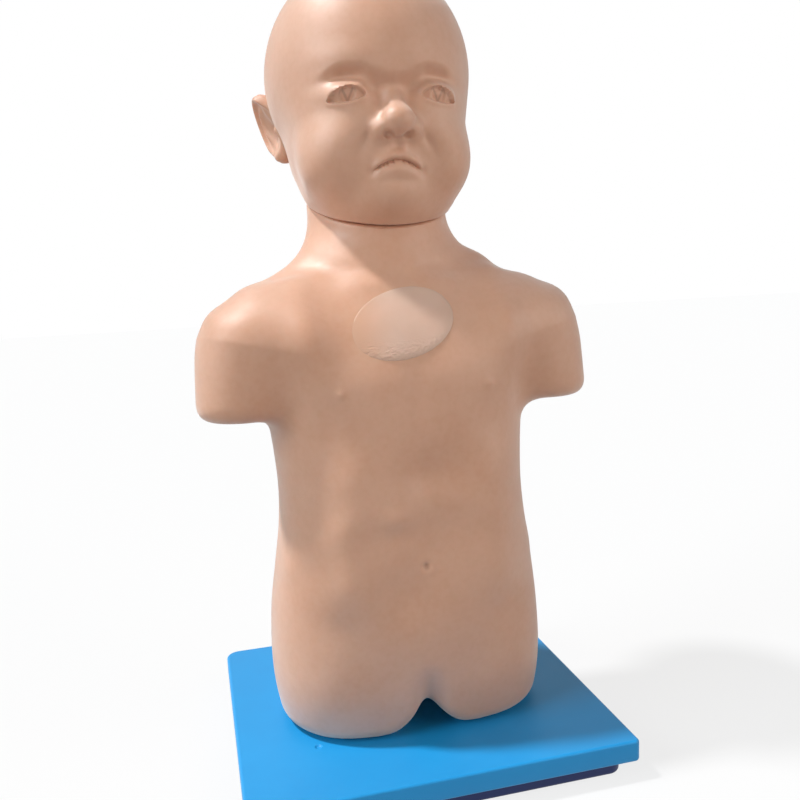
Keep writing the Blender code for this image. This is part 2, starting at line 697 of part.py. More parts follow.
def build_base_top():
    """Light-blue moulded top: an upturned shallow tray with ribs, bosses and a small dimple."""
    half_w, half_d = BASE_WIDTH / 2, BASE_DEPTH / 2
    inner_w, inner_d = half_w - BASE_WALL, half_d - BASE_WALL
    under = BASE_BOTTOM_HEIGHT + GAP
    ceiling = BASE_HEIGHT - BASE_WALL
    bite = BASE_WALL / 3
    rib_bottom = under + GAP
    top = box("base_top", (-half_w, -half_d, under), (half_w, half_d, BASE_HEIGHT), LIGHT_BLUE,
              BASE_CORNER_RADIUS, BASE_TOP_EDGE, 1, BASE_FRONT_CORNER_RADIUS)
    boolean(top, box("cut_base_top_hollow", (-inner_w, -inner_d, under - BASE_WALL),
                     (inner_w, inner_d, ceiling), corner=BASE_CORNER_RADIUS - BASE_WALL))
    for k in range(-int(inner_w // RIB_PITCH), int(inner_w // RIB_PITCH) + 1):
        x = k * RIB_PITCH
        boolean(top, box(f"add_rib_across_{k}", (x - RIB_THICKNESS / 2, -inner_d - bite, rib_bottom),
                         (x + RIB_THICKNESS / 2, inner_d + bite, ceiling + bite)), "UNION")
    for k in range(-int(inner_d // RIB_PITCH), int(inner_d // RIB_PITCH) + 1):
        y = k * RIB_PITCH
        boolean(top, box(f"add_rib_along_{k}", (-inner_w - bite, y - RIB_THICKNESS / 2, rib_bottom + bite / 4),
                         (inner_w + bite, y + RIB_THICKNESS / 2, ceiling + bite / 2)), "UNION")
    for k, (x, y) in enumerate(base_screw_places() + torso_bolt_places()):
        high = ceiling + bite / 3
        profile = [(0.0, under), (BOSS_RADIUS, under), (BOSS_RADIUS, high), (0.0, high)]
        boss = turned(f"add_top_boss_{k}", profile, None, 12, Matrix.Translation((x, y, 0)))
        boolean(top, boss, "UNION")
    for k, (x, y) in enumerate(base_screw_places()):
        boolean(top, hole(f"cut_top_screw_{k}", (x, y, 0), (0, 0, 1), SCREW_SINK + BASE_SCREW_LENGTH,
                          SCREW_RADIUS + GAP))
    for k, (x, y) in enumerate(torso_bolt_places()):
        boolean(top, hole(f"cut_top_bolt_{k}", (x, y, 0), (0, 0, 1), BASE_HEIGHT + CUT_OVERRUN,
                          BOLT_RADIUS + SCREW_CLEARANCE))
    dimple = turned("cut_dimple", [(0.0, -DIMPLE_DEPTH), (DIMPLE_RADIUS * 0.7, -DIMPLE_DEPTH * 0.7),
                                   (DIMPLE_RADIUS, SHORT_OVERRUN), (0.0, SHORT_OVERRUN)], None, 14,
                    Matrix.Translation((DIMPLE_OFFSET, DIMPLE_SETBACK, BASE_HEIGHT)))
    boolean(top, dimple)
    return top


def build_base_bottom():
    """Navy tray that closes the base, with its own bosses and counterbored screw holes."""
    half_w, half_d = BASE_WIDTH / 2 - TRAY_INSET, BASE_DEPTH / 2 - TRAY_INSET
    inner_w, inner_d = half_w - BASE_WALL, half_d - BASE_WALL
    bite = BASE_WALL / 3
    tray = box("base_bottom", (-half_w, -half_d, 0), (half_w, half_d, BASE_BOTTOM_HEIGHT), NAVY,
               TRAY_CORNER_RADIUS, TRAY_BOTTOM_EDGE, -1)
    boolean(tray, box("cut_tray_hollow", (-inner_w, -inner_d, BASE_WALL),
                      (inner_w, inner_d, BASE_BOTTOM_HEIGHT + BASE_WALL), corner=TRAY_CORNER_RADIUS - BASE_WALL,
                      edge=BASE_WALL, edge_side=-1))
    for k, (x, y) in enumerate(base_screw_places()):
        high = BASE_BOTTOM_HEIGHT
        profile = [(0.0, bite), (BOSS_RADIUS, bite), (BOSS_RADIUS, high), (0.0, high)]
        boss = turned(f"add_tray_boss_{k}", profile, None, 12, Matrix.Translation((x, y, 0)))
        boolean(tray, boss, "UNION")
        boolean(tray, hole(f"cut_tray_screw_{k}", (x, y, -SHORT_OVERRUN), (0, 0, 1),
                           BASE_BOTTOM_HEIGHT + CUT_OVERRUN, SCREW_RADIUS + SCREW_CLEARANCE))
        boolean(tray, hole(f"cut_tray_sink_{k}", (x, y, -SHORT_OVERRUN), (0, 0, 1),
                           SHORT_OVERRUN + SCREW_SINK, SCREW_HEAD_RADIUS + SCREW_CLEARANCE, 16))
    return tray


def build_base():
    """The base's two mouldings and the screws that hold them together."""
    build_base_top()
    build_base_bottom()
    for k, (x, y) in enumerate(base_screw_places()):
        screw(f"base_screw_{k + 1}", (x, y, SCREW_SINK - GAP), (0, 0, 1), BASE_SCREW_LENGTH, STEEL)


def build_torso():
    """The hollow vinyl torso with its neck opening, back window and bolt holes, and the chest patch."""
    half_width = ARM_END_SPACING + SHOULDER_RADIUS + SEARCH_MARGIN
    low = (-half_width, -max(FRONT_DEPTHS) - SEARCH_MARGIN, -SEARCH_MARGIN)
    high = (half_width, max(BACK_DEPTHS) + SEARCH_MARGIN, JOINT_HEIGHT + SEARCH_MARGIN * 2)
    skin = field_object("torso_shell", torso, low, high, SKIN_CELL, SKIN_KEEP, SKIN)
    lining = field_object("cut_torso_lining", inside_of(torso, SKIN_WALL), low, high,
                          SKIN_LINING_CELL, SKIN_LINING_KEEP)
    boolean(lining, joint_cut("cut_lining_top", -SKIN_WALL, JOINT_AXIS))
    boolean(skin, joint_cut("cut_neck_top", 0.0, JOINT_AXIS))
    boolean(skin, lining)
    boolean(skin, hole("cut_neck_hole", joint_point(-JOINT_HOLE_START), JOINT_AXIS, JOINT_HOLE_LENGTH,
                       NECK_HOLE_RADIUS, 32))
    x, z = rounded_outline(COVER_HALF_WIDTH, COVER_HALF_HEIGHT, COVER_POWER, 28)
    x, z = x[None, :], z[None, :] + COVER_CENTRE_HEIGHT
    inside, outside = max(BACK_DEPTHS) / 2, max(BACK_DEPTHS) + SEARCH_MARGIN * 2
    window = plate_mesh("cut_back_window", x, z, np.full(x.shape, inside), np.full(x.shape, outside), True)
    boolean(skin, new_object("cut_back_window", window))
    floor = BASE_HEIGHT + SKIN_WALL - GAP
    seat_w = BLOCK_HALF_WIDTH + BLOCK_SEAT_CLEARANCE
    seat_d = BLOCK_HALF_DEPTH + BLOCK_SEAT_CLEARANCE
    for side in (-1, 1):
        centre_x = side * THIGH_SPACING
        boolean(skin, box(f"cut_block_seat_{side}", (centre_x - seat_w, THIGH_SETBACK - seat_d, floor),
                          (centre_x + seat_w, THIGH_SETBACK + seat_d, floor + BLOCK_SEAT_DEPTH),
                          corner=BLOCK_CORNER_RADIUS + BLOCK_SEAT_CLEARANCE))
    for k, (x, y) in enumerate(torso_bolt_places()):
        boolean(skin, hole(f"cut_skin_bolt_{k}", (x, y, BASE_HEIGHT - SKIN_WALL), (0, 0, 1), SKIN_WALL * 5,
                           BOLT_RADIUS + SCREW_CLEARANCE))
    close_slivers(skin)
    skin_plate("chest_patch", (PATCH_OFFSET, JOINT_HEIGHT - PATCH_DROP),
               rounded_outline(PATCH_HALF_WIDTH, PATCH_HALF_HEIGHT, 2.0, 26), [0.18, 0.45, 0.72, 1.0],
               (PATCH_LIFT, PATCH_LIFT + PATCH_THICKNESS), -1, PATCH, PATCH_TURN)


def build_back_cover():
    """The back cover, the frame bonded behind its window, its screws, the filler port and the cap."""
    sides = 28
    centre = (0.0, COVER_CENTRE_HEIGHT)
    outline = rounded_outline(COVER_HALF_WIDTH - COVER_CLEARANCE, COVER_HALF_HEIGHT - COVER_CLEARANCE,
                              COVER_POWER, sides)
    cover = skin_plate("back_cover", centre, outline, [0.2, 0.5, 0.78, 1.0],
                       (-COVER_SINK - COVER_THICKNESS, -COVER_SINK), 1, SKIN)
    frame_outline = rounded_outline(COVER_HALF_WIDTH + COVER_LIP, COVER_HALF_HEIGHT + COVER_LIP,
                                    COVER_POWER, sides)
    hole_share = (COVER_HALF_WIDTH - COVER_LIP) / (COVER_HALF_WIDTH + COVER_LIP)
    frame = skin_plate("cover_frame", centre, frame_outline, [hole_share, 1.0],
                       (-FRAME_SETBACK - FRAME_THICKNESS, -FRAME_SETBACK), 1, WHITE_PLASTIC)
    place_x = COVER_HALF_WIDTH - COVER_SCREW_INSET
    place_z = COVER_HALF_HEIGHT - COVER_SCREW_INSET
    corners = [(i * place_x, COVER_CENTRE_HEIGHT + j * place_z) for i in (-1, 1) for j in (-1, 1)]
    for k, (x, z) in enumerate(corners):
        point, normal = skin_point(x, z, 1)
        start = point + normal * COVER_HOLE_START
        boolean(cover, hole(f"cut_cover_screw_{k}", start, -normal, COVER_HOLE_LENGTH,
                            SCREW_RADIUS + SCREW_CLEARANCE))
        boolean(frame, hole(f"cut_frame_screw_{k}", start, -normal, FRAME_HOLE_LENGTH, SCREW_RADIUS + GAP))
        screw(f"cover_screw_{k + 1}", point + normal * GAP, -normal, COVER_SCREW_LENGTH, STEEL)
    point, normal = skin_point(PORT_OFFSET, COVER_CENTRE_HEIGHT + PORT_RISE, 1)
    boolean(cover, hole("cut_cover_port", point + normal * COVER_HOLE_START, -normal, COVER_HOLE_LENGTH,
                        PORT_BARREL_RADIUS + SCREW_CLEARANCE, 20))
    place = along(point + normal * GAP, normal)
    barrel, bore, flange = PORT_BARREL_RADIUS, PORT_BORE_RADIUS, PORT_FLANGE_RADIUS
    neck_top = PORT_FLANGE_THICKNESS + PORT_NECK_HEIGHT
    turned("filler_port", [(bore, -PORT_DEPTH), (barrel, -PORT_DEPTH), (barrel, 0.0), (flange, 0.0),
                           (flange, PORT_FLANGE_THICKNESS), (barrel, PORT_FLANGE_THICKNESS), (barrel, neck_top),
                           (bore, neck_top)], WHITE_PLASTIC, 16, place)
    plug = PORT_BORE_RADIUS - GAP
    seat = neck_top + GAP
    turned("filler_cap", [(0.0, seat - CAP_PLUG_LENGTH), (plug, seat - CAP_PLUG_LENGTH), (plug, seat),
                          (CAP_RADIUS, seat), (CAP_RADIUS, seat + CAP_HEIGHT * 0.8),
                          (CAP_RADIUS * 0.85, seat + CAP_HEIGHT), (0.0, seat + CAP_HEIGHT)],
           BLUE_PLASTIC, 16, place)
    return point - normal * (PORT_DEPTH - GAP), normal


def build_carrier():
    """Blocks in the thigh stumps, the plate across them and the cradle with its pad frame."""
    block_low = BASE_HEIGHT + SKIN_WALL
    plate_low = block_low + BLOCK_HEIGHT + GAP
    cradle_low = plate_low + PLATE_THICKNESS + GAP
    bolt_seat = BASE_BOTTOM_HEIGHT
    for side, name in ((-1, "left"), (1, "right")):
        x = side * THIGH_SPACING
        low = (x - BLOCK_HALF_WIDTH, THIGH_SETBACK - BLOCK_HALF_DEPTH, block_low)
        high = (x + BLOCK_HALF_WIDTH, THIGH_SETBACK + BLOCK_HALF_DEPTH, block_low + BLOCK_HEIGHT)
        block = box(f"thigh_block_{name}", low, high, WHITE_PLASTIC, BLOCK_CORNER_RADIUS)
        for k, (bolt_x, bolt_y) in enumerate(torso_bolt_places()):
            if bolt_x * side > 0:
                start = block_low - CUT_OVERRUN
                boolean(block, hole(f"cut_block_bolt_{k}", (bolt_x, bolt_y, start), (0, 0, 1),
                                    bolt_seat + BOLT_LENGTH + BOLT_END_GAP - start, BOLT_RADIUS + GAP))
        above = (x, PLATE_SCREW_SETBACK, block_low + BLOCK_HEIGHT + CUT_OVERRUN)
        boolean(block, hole(f"cut_block_screw_{name}", above, (0, 0, -1), PLATE_SCREW_LENGTH + CUT_OVERRUN,
                            SCREW_RADIUS + GAP))
    for k, (x, y) in enumerate(torso_bolt_places()):
        screw(f"torso_bolt_{k + 1}", (x, y, bolt_seat), (0, 0, 1), BOLT_LENGTH, STEEL, BOLT_RADIUS,
              BOLT_HEAD_RADIUS, BOLT_HEAD_HEIGHT)
    plate = box("cross_plate", (-PLATE_HALF_WIDTH, PLATE_FRONT, plate_low),
                (PLATE_HALF_WIDTH, PLATE_BACK, plate_low + PLATE_THICKNESS), WHITE_PLASTIC, PLATE_CORNER_RADIUS)
    cradle = box("bladder_cradle", (-CRADLE_HALF_WIDTH, CRADLE_FRONT, cradle_low),
                 (CRADLE_HALF_WIDTH, CRADLE_BACK, cradle_low + CRADLE_SIDE_HEIGHT), WHITE_PLASTIC)
    low = (-CRADLE_HALF_WIDTH + CRADLE_WALL, CRADLE_FRONT + CRADLE_WALL, cradle_low + CRADLE_WALL)
    high = (CRADLE_HALF_WIDTH - CRADLE_WALL, CRADLE_BACK - CRADLE_WALL, cradle_low + CRADLE_SIDE_HEIGHT * 2)
    boolean(cradle, box("cut_cradle_hollow", low, high))
    bite = CRADLE_WALL / 5
    pad_frame = box("add_pad_frame", (-CRADLE_HALF_WIDTH + bite, CRADLE_FRONT + bite, cradle_low + bite),
                    (CRADLE_HALF_WIDTH - bite, CRADLE_FRONT + CRADLE_WALL - bite, BASE_HEIGHT + PAD_FRAME_TOP))
    boolean(cradle, pad_frame, "UNION")
    boolean(cradle, box("cut_pad_window",
                        (-PAD_WINDOW_HALF_WIDTH, CRADLE_FRONT - CUT_OVERRUN, BASE_HEIGHT + PAD_WINDOW_BOTTOM),
                        (PAD_WINDOW_HALF_WIDTH, CRADLE_FRONT + CUT_OVERRUN * 2, BASE_HEIGHT + PAD_WINDOW_TOP)))
    for k, x in enumerate((-THIGH_SPACING, THIGH_SPACING)):
        seat = plate_low + PLATE_THICKNESS + GAP
        spot = (x, PLATE_SCREW_SETBACK, plate_low - CUT_OVERRUN)
        boolean(plate, hole(f"cut_plate_screw_{k}", spot, (0, 0, 1), CUT_OVERRUN * 2,
                            SCREW_RADIUS + SCREW_CLEARANCE))
        screw(f"plate_screw_{k + 1}", (x, PLATE_SCREW_SETBACK, seat), (0, 0, -1), PLATE_SCREW_LENGTH, STEEL)
    for k, (x, y) in enumerate(cradle_screw_places()):
        spot = (x, y, plate_low - CUT_OVERRUN)
        boolean(plate, hole(f"cut_plate_cradle_screw_{k}", spot, (0, 0, 1), CUT_OVERRUN * 2,
                            SCREW_RADIUS + GAP))
        boolean(cradle, hole(f"cut_cradle_screw_{k}", spot, (0, 0, 1), CUT_OVERRUN * 3,
                             SCREW_RADIUS + SCREW_CLEARANCE))
        screw(f"cradle_screw_{k + 1}", (x, y, cradle_low + CRADLE_WALL + GAP), (0, 0, -1), CRADLE_SCREW_LENGTH,
              STEEL)
    return cradle_low + CRADLE_WALL


def build_fluid_parts(floor, port_end, port_normal):
    """The fluid bladder in its cradle, the puncture pad behind the belly skin and the filling tube."""
    slack = BLADDER_SLACK
    bladder_low = floor + SCREW_HEAD_HEIGHT + 2 * GAP
    low = (-CRADLE_HALF_WIDTH + CRADLE_WALL + slack, CRADLE_FRONT + CRADLE_WALL + slack, bladder_low)
    high = (CRADLE_HALF_WIDTH - CRADLE_WALL - slack, CRADLE_BACK - CRADLE_WALL - slack,
            bladder_low + BLADDER_HEIGHT)
    bladder = box("fluid_bladder", low, high, SILICONE)
    rounding = bladder.modifiers.new("rounding", "BEVEL")
    rounding.width = BLADDER_ROUNDING
    rounding.segments = 3
    x0, z0 = rounded_outline(PAD_HALF_WIDTH, (PAD_TOP - PAD_BOTTOM) / 2, 6.0, 24)
    rings = np.array([0.28, 0.65, 1.0])
    x = np.outer(rings, x0)
    z = (PAD_TOP + PAD_BOTTOM) / 2 + np.outer(rings, z0)
    front = depth_at(torso, x, z, -1) + SKIN_WALL + PAD_SKIN_GAP
    pad = plate_mesh("puncture_pad", x, z, front, np.full(x.shape, CRADLE_FRONT - GAP), True)
    new_object("puncture_pad", pad, PATCH)
    foot = Vector((PORT_OFFSET, (low[1] + high[1]) / 2, high[2] + GAP))
    rise = Vector((0, 0, 1))
    end = port_end - port_normal * GAP
    back = Vector((0, 1, 0))
    route = smooth_route([foot, foot + rise * TUBE_BEND * 0.5, foot + rise * TUBE_BEND + back * TUBE_BEND * 0.3,
                          foot + rise * TUBE_BEND * 1.3 + back * TUBE_BEND,
                          end - port_normal * TUBE_BEND + rise * TUBE_BEND * 0.6,
                          end - port_normal * TUBE_BEND * 0.35 + rise * TUBE_BEND * 0.06, end], 5)
    curve = bpy.data.curves.new("fill_tube", "CURVE")
    curve.dimensions = "3D"
    curve.bevel_depth = TUBE_RADIUS
    curve.bevel_resolution = 2
    curve.use_fill_caps = True
    spline = curve.splines.new("POLY")
    spline.points.add(len(route) - 1)
    for point, place in zip(spline.points, route):
        point.co = (*place, 1.0)
    curve.materials.append(SILICONE)
    PARTS.objects.link(bpy.data.objects.new("fill_tube", curve))


def joint_point(level):
    """A point on the neck joint's axis, a level above its plane."""
    return Vector((0, NECK_CENTRE_Y, JOINT_HEIGHT + BASE_HEIGHT)) + JOINT_AXIS * level


def joint_cut(name, level, direction):
    """A wide cutter that starts a level above the neck joint's plane and runs along its axis."""
    return hole(name, joint_point(level), direction, JOINT_CUT_DEPTH, JOINT_CUT_RADIUS, 16)


def build_neck_joint():
    """The disc in the neck, the disc in the head, and the pivot bolt with its washer and nut."""
    place = along(joint_point(0.0), JOINT_AXIS)
    plug = NECK_HOLE_RADIUS - GAP
    flange_top = GAP + DISC_FLANGE_THICKNESS
    bore = PIVOT_RADIUS + GAP
    turned("neck_disc", [(bore, -DISC_PLUG_DEPTH), (plug, -DISC_PLUG_DEPTH), (plug, GAP),
                         (DISC_FLANGE_RADIUS, GAP), (DISC_FLANGE_RADIUS, flange_top), (bore, flange_top)],
           WHITE_PLASTIC, 32, place)
    disc_low = JOINT_GAP + HEAD_WALL
    disc_top = disc_low + HEAD_DISC_THICKNESS
    hub_low = flange_top + GAP
    loose_bore = PIVOT_RADIUS + PIVOT_CLEARANCE
    turned("head_disc", [(loose_bore, hub_low), (HUB_RADIUS, hub_low), (HUB_RADIUS, disc_low),
                         (HEAD_DISC_RADIUS, disc_low), (HEAD_DISC_RADIUS, disc_top), (loose_bore, disc_top)],
           WHITE_PLASTIC, 32, place, HEAD_PIVOT)
    head_top = -DISC_PLUG_DEPTH - GAP
    head_low = head_top - PIVOT_HEAD_HEIGHT
    chamfer = PIVOT_CHAMFER
    turned("pivot_bolt", [(0.0, head_low), (PIVOT_HEAD_RADIUS, head_low), (PIVOT_HEAD_RADIUS, head_top),
                          (PIVOT_RADIUS, head_top), (PIVOT_RADIUS, PIVOT_END - chamfer),
                          (PIVOT_RADIUS - chamfer, PIVOT_END), (0.0, PIVOT_END)], STEEL, 20, place)
    washer_low = disc_top + GAP
    washer_top = washer_low + WASHER_THICKNESS
    turned("pivot_washer", [(bore, washer_low), (WASHER_RADIUS, washer_low), (WASHER_RADIUS, washer_top),
                            (bore, washer_top)], STEEL, 20, place)
    nut_low = washer_top + GAP
    nut = turned("pivot_nut", [(0.0, nut_low), (NUT_RADIUS, nut_low), (NUT_RADIUS, nut_low + NUT_HEIGHT),
                               (0.0, nut_low + NUT_HEIGHT)], STEEL, 6, place)
    boolean(nut, hole("cut_nut_bore", joint_point(nut_low - CUT_OVERRUN), JOINT_AXIS,
                      NUT_HEIGHT + CUT_OVERRUN * 2, bore, 20))


def build_head():
    """The hollow vinyl head, open below for the neck joint."""
    half_width = EAR_CENTRE[0] + EAR_RADII[0] + SEARCH_MARGIN
    front = NOSE_TIP[1] - NOSE_TIP_RADIUS - SEARCH_MARGIN
    low = (-half_width, front, JOINT_HEIGHT - SKIRT_RADIUS * math.sin(JOINT_TILT) - SEARCH_MARGIN)
    high = (half_width, HEAD_CENTRE_Y + CRANIUM_RADII[1] + SEARCH_MARGIN,
            JOINT_HEIGHT + CRANIUM_RISE + CRANIUM_RADII[2] + SEARCH_MARGIN)
    skin = field_object("head_shell", head, low, high, HEAD_CELL, HEAD_KEEP, SKIN, HEAD_PIVOT)
    lining = field_object("cut_head_lining", inside_of(head_core, HEAD_WALL), low, high,
                          HEAD_LINING_CELL, HEAD_LINING_KEEP)
    boolean(lining, joint_cut("cut_lining_floor", JOINT_GAP + HEAD_WALL, -JOINT_AXIS))
    boolean(skin, joint_cut("cut_head_floor", JOINT_GAP, -JOINT_AXIS))
    boolean(skin, lining)
    boolean(skin, hole("cut_head_hole", joint_point(-JOINT_HOLE_START), JOINT_AXIS, JOINT_HOLE_LENGTH,
                       HEAD_HOLE_RADIUS, 32))
    boolean(skin, hole("cut_head_seat", joint_point(JOINT_GAP + HEAD_WALL - GAP), JOINT_AXIS, HEAD_SEAT_DEPTH,
                       HEAD_DISC_RADIUS + HEAD_SEAT_CLEARANCE, 32))
    close_slivers(skin)


def round_off():
    """Shade the curved pieces smooth, with crisp edges kept."""
    for obj in PARTS.objects:
        if obj.type == "MESH":
            obj.data.shade_smooth()
            obj.data.set_sharp_from_angle(angle=math.radians(35))


for old in list(bpy.data.objects):
    bpy.data.objects.remove(old, do_unlink=True)

PARTS = new_collection("abdominal_paracentesis_trainer")
CUTTERS = new_collection("cutters")

LIGHT_BLUE = new_material("light_blue", (0.08, 0.42, 0.75), 0.35)
NAVY = new_material("navy", (0.012, 0.030, 0.13), 0.45)
SKIN = new_material("skin", (0.74, 0.50, 0.38), 0.42)
PATCH = new_material("soft_skin", (0.76, 0.52, 0.42), 0.50)
WHITE_PLASTIC = new_material("white_plastic", (0.80, 0.80, 0.78), 0.45)
BLUE_PLASTIC = new_material("blue_plastic", (0.10, 0.25, 0.55), 0.40)
SILICONE = new_material("silicone", (0.70, 0.68, 0.60), 0.35)
STEEL = new_material("steel", (0.60, 0.60, 0.60), 0.30, 1.0)

JOINT_AXIS = Vector((0, -math.sin(JOINT_TILT), math.cos(JOINT_TILT)))
HEAD_PIVOT = bpy.data.objects.new("head_pivot", None)
PARTS.objects.link(HEAD_PIVOT)
HEAD_PIVOT.matrix_basis = along(joint_point(0.0), JOINT_AXIS)

build_base()
build_torso()
port_end_place, port_axis = build_back_cover()
cradle_floor = build_carrier()
build_fluid_parts(cradle_floor, port_end_place, port_axis)
build_neck_joint()
build_head()
round_off()
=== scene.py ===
"""Dressed model of a child abdominal paracentesis trainer: its skin, its base and its fittings.

Metres, +Z up. The manikin faces -Y, and the origin is the centre of the base's underside. Heights
of the manikin's own forms are counted from the top of the base, which is LIFT above the origin.
"""
import json
import logging
import math
from abc import ABC, abstractmethod
from collections.abc import Callable, Sequence
from dataclasses import dataclass
from enum import Enum
from functools import cached_property

import bpy
import numpy as np
from mathutils import Matrix, Vector


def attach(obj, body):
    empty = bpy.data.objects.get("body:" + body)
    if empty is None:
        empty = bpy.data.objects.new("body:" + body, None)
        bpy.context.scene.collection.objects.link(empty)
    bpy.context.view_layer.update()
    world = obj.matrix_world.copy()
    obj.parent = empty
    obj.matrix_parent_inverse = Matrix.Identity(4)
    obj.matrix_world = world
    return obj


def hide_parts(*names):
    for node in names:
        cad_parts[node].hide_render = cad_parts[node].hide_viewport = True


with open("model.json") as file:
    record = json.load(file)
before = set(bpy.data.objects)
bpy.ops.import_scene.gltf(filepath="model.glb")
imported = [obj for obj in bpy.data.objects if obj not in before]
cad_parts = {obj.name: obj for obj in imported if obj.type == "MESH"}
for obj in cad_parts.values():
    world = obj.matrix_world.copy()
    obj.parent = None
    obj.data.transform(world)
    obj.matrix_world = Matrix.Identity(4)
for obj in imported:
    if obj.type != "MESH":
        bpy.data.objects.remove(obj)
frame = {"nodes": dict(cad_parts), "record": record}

Array = np.ndarray
Field = Callable[[Array], Array]
Colour = tuple[float, float, float]
Profile = Sequence[tuple[float, float]]
Socket = bpy.types.NodeSocket

LIFT = 0.029  # top of the base above the origin
GAP = 0.0003  # room left between two pieces that touch
NECK_Y = 0.026  # the neck's axis, behind the middle
JOINT_HEIGHT = 0.3903
JOINT_TILT = math.radians(21.0)
EYE_DROOP = 0.11  # how much an eye's outer end hangs, per metre across
IRIS_RISE = 0.0026
IRIS_RADIUS = 0.0056

log = logging.getLogger("trainer")


class Facing(Enum):
    """A side of the manikin: the sign of y there."""

    FRONT = -1
    BACK = 1


def operator(operation: str, swapped: bool = False) -> Callable:
    """A method of two values that adds one Math node.

    Args:
        operation: The node's operation, such as ADD.
        swapped: Put the other value first, as reflected operators need.

    Returns:
        The method.
    """
    def method(self: "Expression", other: "Expression | float") -> "Expression":
        return self.math(operation, *((other, self) if swapped else (self, other)))

    return method


class Expression:
    """A value in a shader, on which Python arithmetic adds Math nodes."""

    def __init__(self, graph: "Graph", socket: Socket) -> None:
        """Hold a socket of a graph."""
        self.graph = graph
        self.socket = socket

    def math(self, operation: str, *values: "Expression | float") -> "Expression":
        """Add one Math node, with all its values given in order."""
        node = self.graph.node("ShaderNodeMath", {"operation": operation}, dict(enumerate(values)))
        return Expression(self.graph, node.outputs[0])

    __add__ = __radd__ = operator("ADD")
    __mul__ = __rmul__ = operator("MULTIPLY")
    __sub__, __rsub__ = operator("SUBTRACT"), operator("SUBTRACT", True)
    __truediv__, __rtruediv__ = operator("DIVIDE"), operator("DIVIDE", True)
    __pow__, __rpow__ = operator("POWER"), operator("POWER", True)

    def __abs__(self) -> "Expression":
        """Size without its sign."""
        return self.math("ABSOLUTE", self)

    def ramp(self, low: float, high: float) -> "Expression":
        """A smooth step from 0 at low to 1 at high, or down where low is the larger.

        Args:
            low: The value that gives 0.
            high: The value that gives 1.

        Returns:
            The step.
        """
        down = low > high
        inputs = {0: self, 1: min(low, high), 2: max(low, high), 3: float(down), 4: float(not down)}
        node = self.graph.node("ShaderNodeMapRange", {"interpolation_type": "SMOOTHSTEP"}, inputs)
        return Expression(self.graph, node.outputs[0])


class Graph:
    """The node tree of a material or a world, with one method that makes every node."""

    def __init__(self, owner: bpy.types.Material | bpy.types.World, output: str) -> None:
        """Start with nothing but the output, whose type is given."""
        self.owner = owner
        owner.use_nodes = True
        self.tree = owner.node_tree
        self.tree.nodes.clear()
        self.output = self.tree.nodes.new(output)

    @cached_property
    def coordinates(self) -> Socket:
        """The object's own coordinates."""
        return self.node("ShaderNodeTexCoord").outputs["Object"]

    def node(self, kind: str, settings: dict | None = None, inputs: dict | None = None) -> bpy.types.Node:
        """Make a node, set its settings, then set or link its sockets.

        Args:
            kind: The node's type.
            settings: Attributes, set first.
            inputs: Values, sockets or expressions by socket name or number.

        Returns:
            The node.
        """
        node = self.tree.nodes.new(kind)
        for key, value in (settings or {}).items():
            setattr(node, key, value)
        for key, value in (inputs or {}).items():
            socket = node.inputs[key]
            if isinstance(value, Expression):
                value = value.socket
            if isinstance(value, Socket):
                self.tree.links.new(value, socket)
            elif isinstance(value, tuple) and len(value) == 3 and socket.type == "RGBA":
                socket.default_value = (*value, 1.0)
            else:
                socket.default_value = value
        return node

    def axes(self) -> tuple[Expression, Expression, Expression]:
        """The object's own x, y and z."""
        node = self.node("ShaderNodeSeparateXYZ", None, {0: self.coordinates})
        return tuple(Expression(self, socket) for socket in node.outputs)

    def vector(self, operation: str, first: Socket, second: Colour) -> Socket:
        """Add one Vector Math node."""
        return self.node("ShaderNodeVectorMath", {"operation": operation}, {0: first, 1: second}).outputs[0]

    def stretched(self, scale: Colour) -> Socket:
        """The object's coordinates, each multiplied by its own number."""
        return self.vector("MULTIPLY", self.coordinates, scale)

    def near(self, centre: Colour, radii: Colour) -> Expression:
        """How far the surface is from a centre, where each radius counts as 1 along its axis."""
        scale = tuple(1.0 / radius for radius in radii)
        scaled = self.vector("MULTIPLY", self.vector("SUBTRACT", self.coordinates, centre), scale)
        length = self.node("ShaderNodeVectorMath", {"operation": "LENGTH"}, {0: scaled})
        return Expression(self, length.outputs["Value"])

    def noise(self, size: float, detail: float = 2.0, roughness: float = 0.5,
              vector: Socket | None = None, seed: float = 0.0) -> Expression:
        """Fractal noise whose blotches are about a size across.

        Args:
            size: The blotches' size, in metres.
            detail: The number of finer layers.
            roughness: How strong the finer layers are.
            vector: Coordinates to read in place of the object's.
            seed: A fourth coordinate, which picks the pattern.

        Returns:
            The noise, about 0.5 on average.
        """
        inputs = {"Vector": vector or self.coordinates, "W": seed, "Scale": 1.0 / size, "Detail": detail,
                  "Roughness": roughness}
        node = self.node("ShaderNodeTexNoise", {"noise_dimensions": "4D"}, inputs)
        return Expression(self, node.outputs[0])

    def mix(self, share: Expression | float, first: Colour | Socket,
            second: Colour | Socket) -> Socket:
        """Blend two colours or colour sockets: the first where the share is 0, the second where it is 1."""
        return self.node("ShaderNodeMix", {"data_type": "RGBA"}, {0: share, 6: first, 7: second}).outputs[2]

    def bump(self, height: Expression, depth: float) -> Socket:
        """A normal tilted by a height from 0 to 1, where 1 stands for a depth in metres."""
        inputs = {"Strength": 1.0, "Distance": depth, "Height": height}
        return self.node("ShaderNodeBump", None, inputs).outputs[0]

    def close(self, shader: bpy.types.Node) -> None:
        """Link the last shader to the output."""
        self.tree.links.new(shader.outputs[0], self.output.inputs[0])


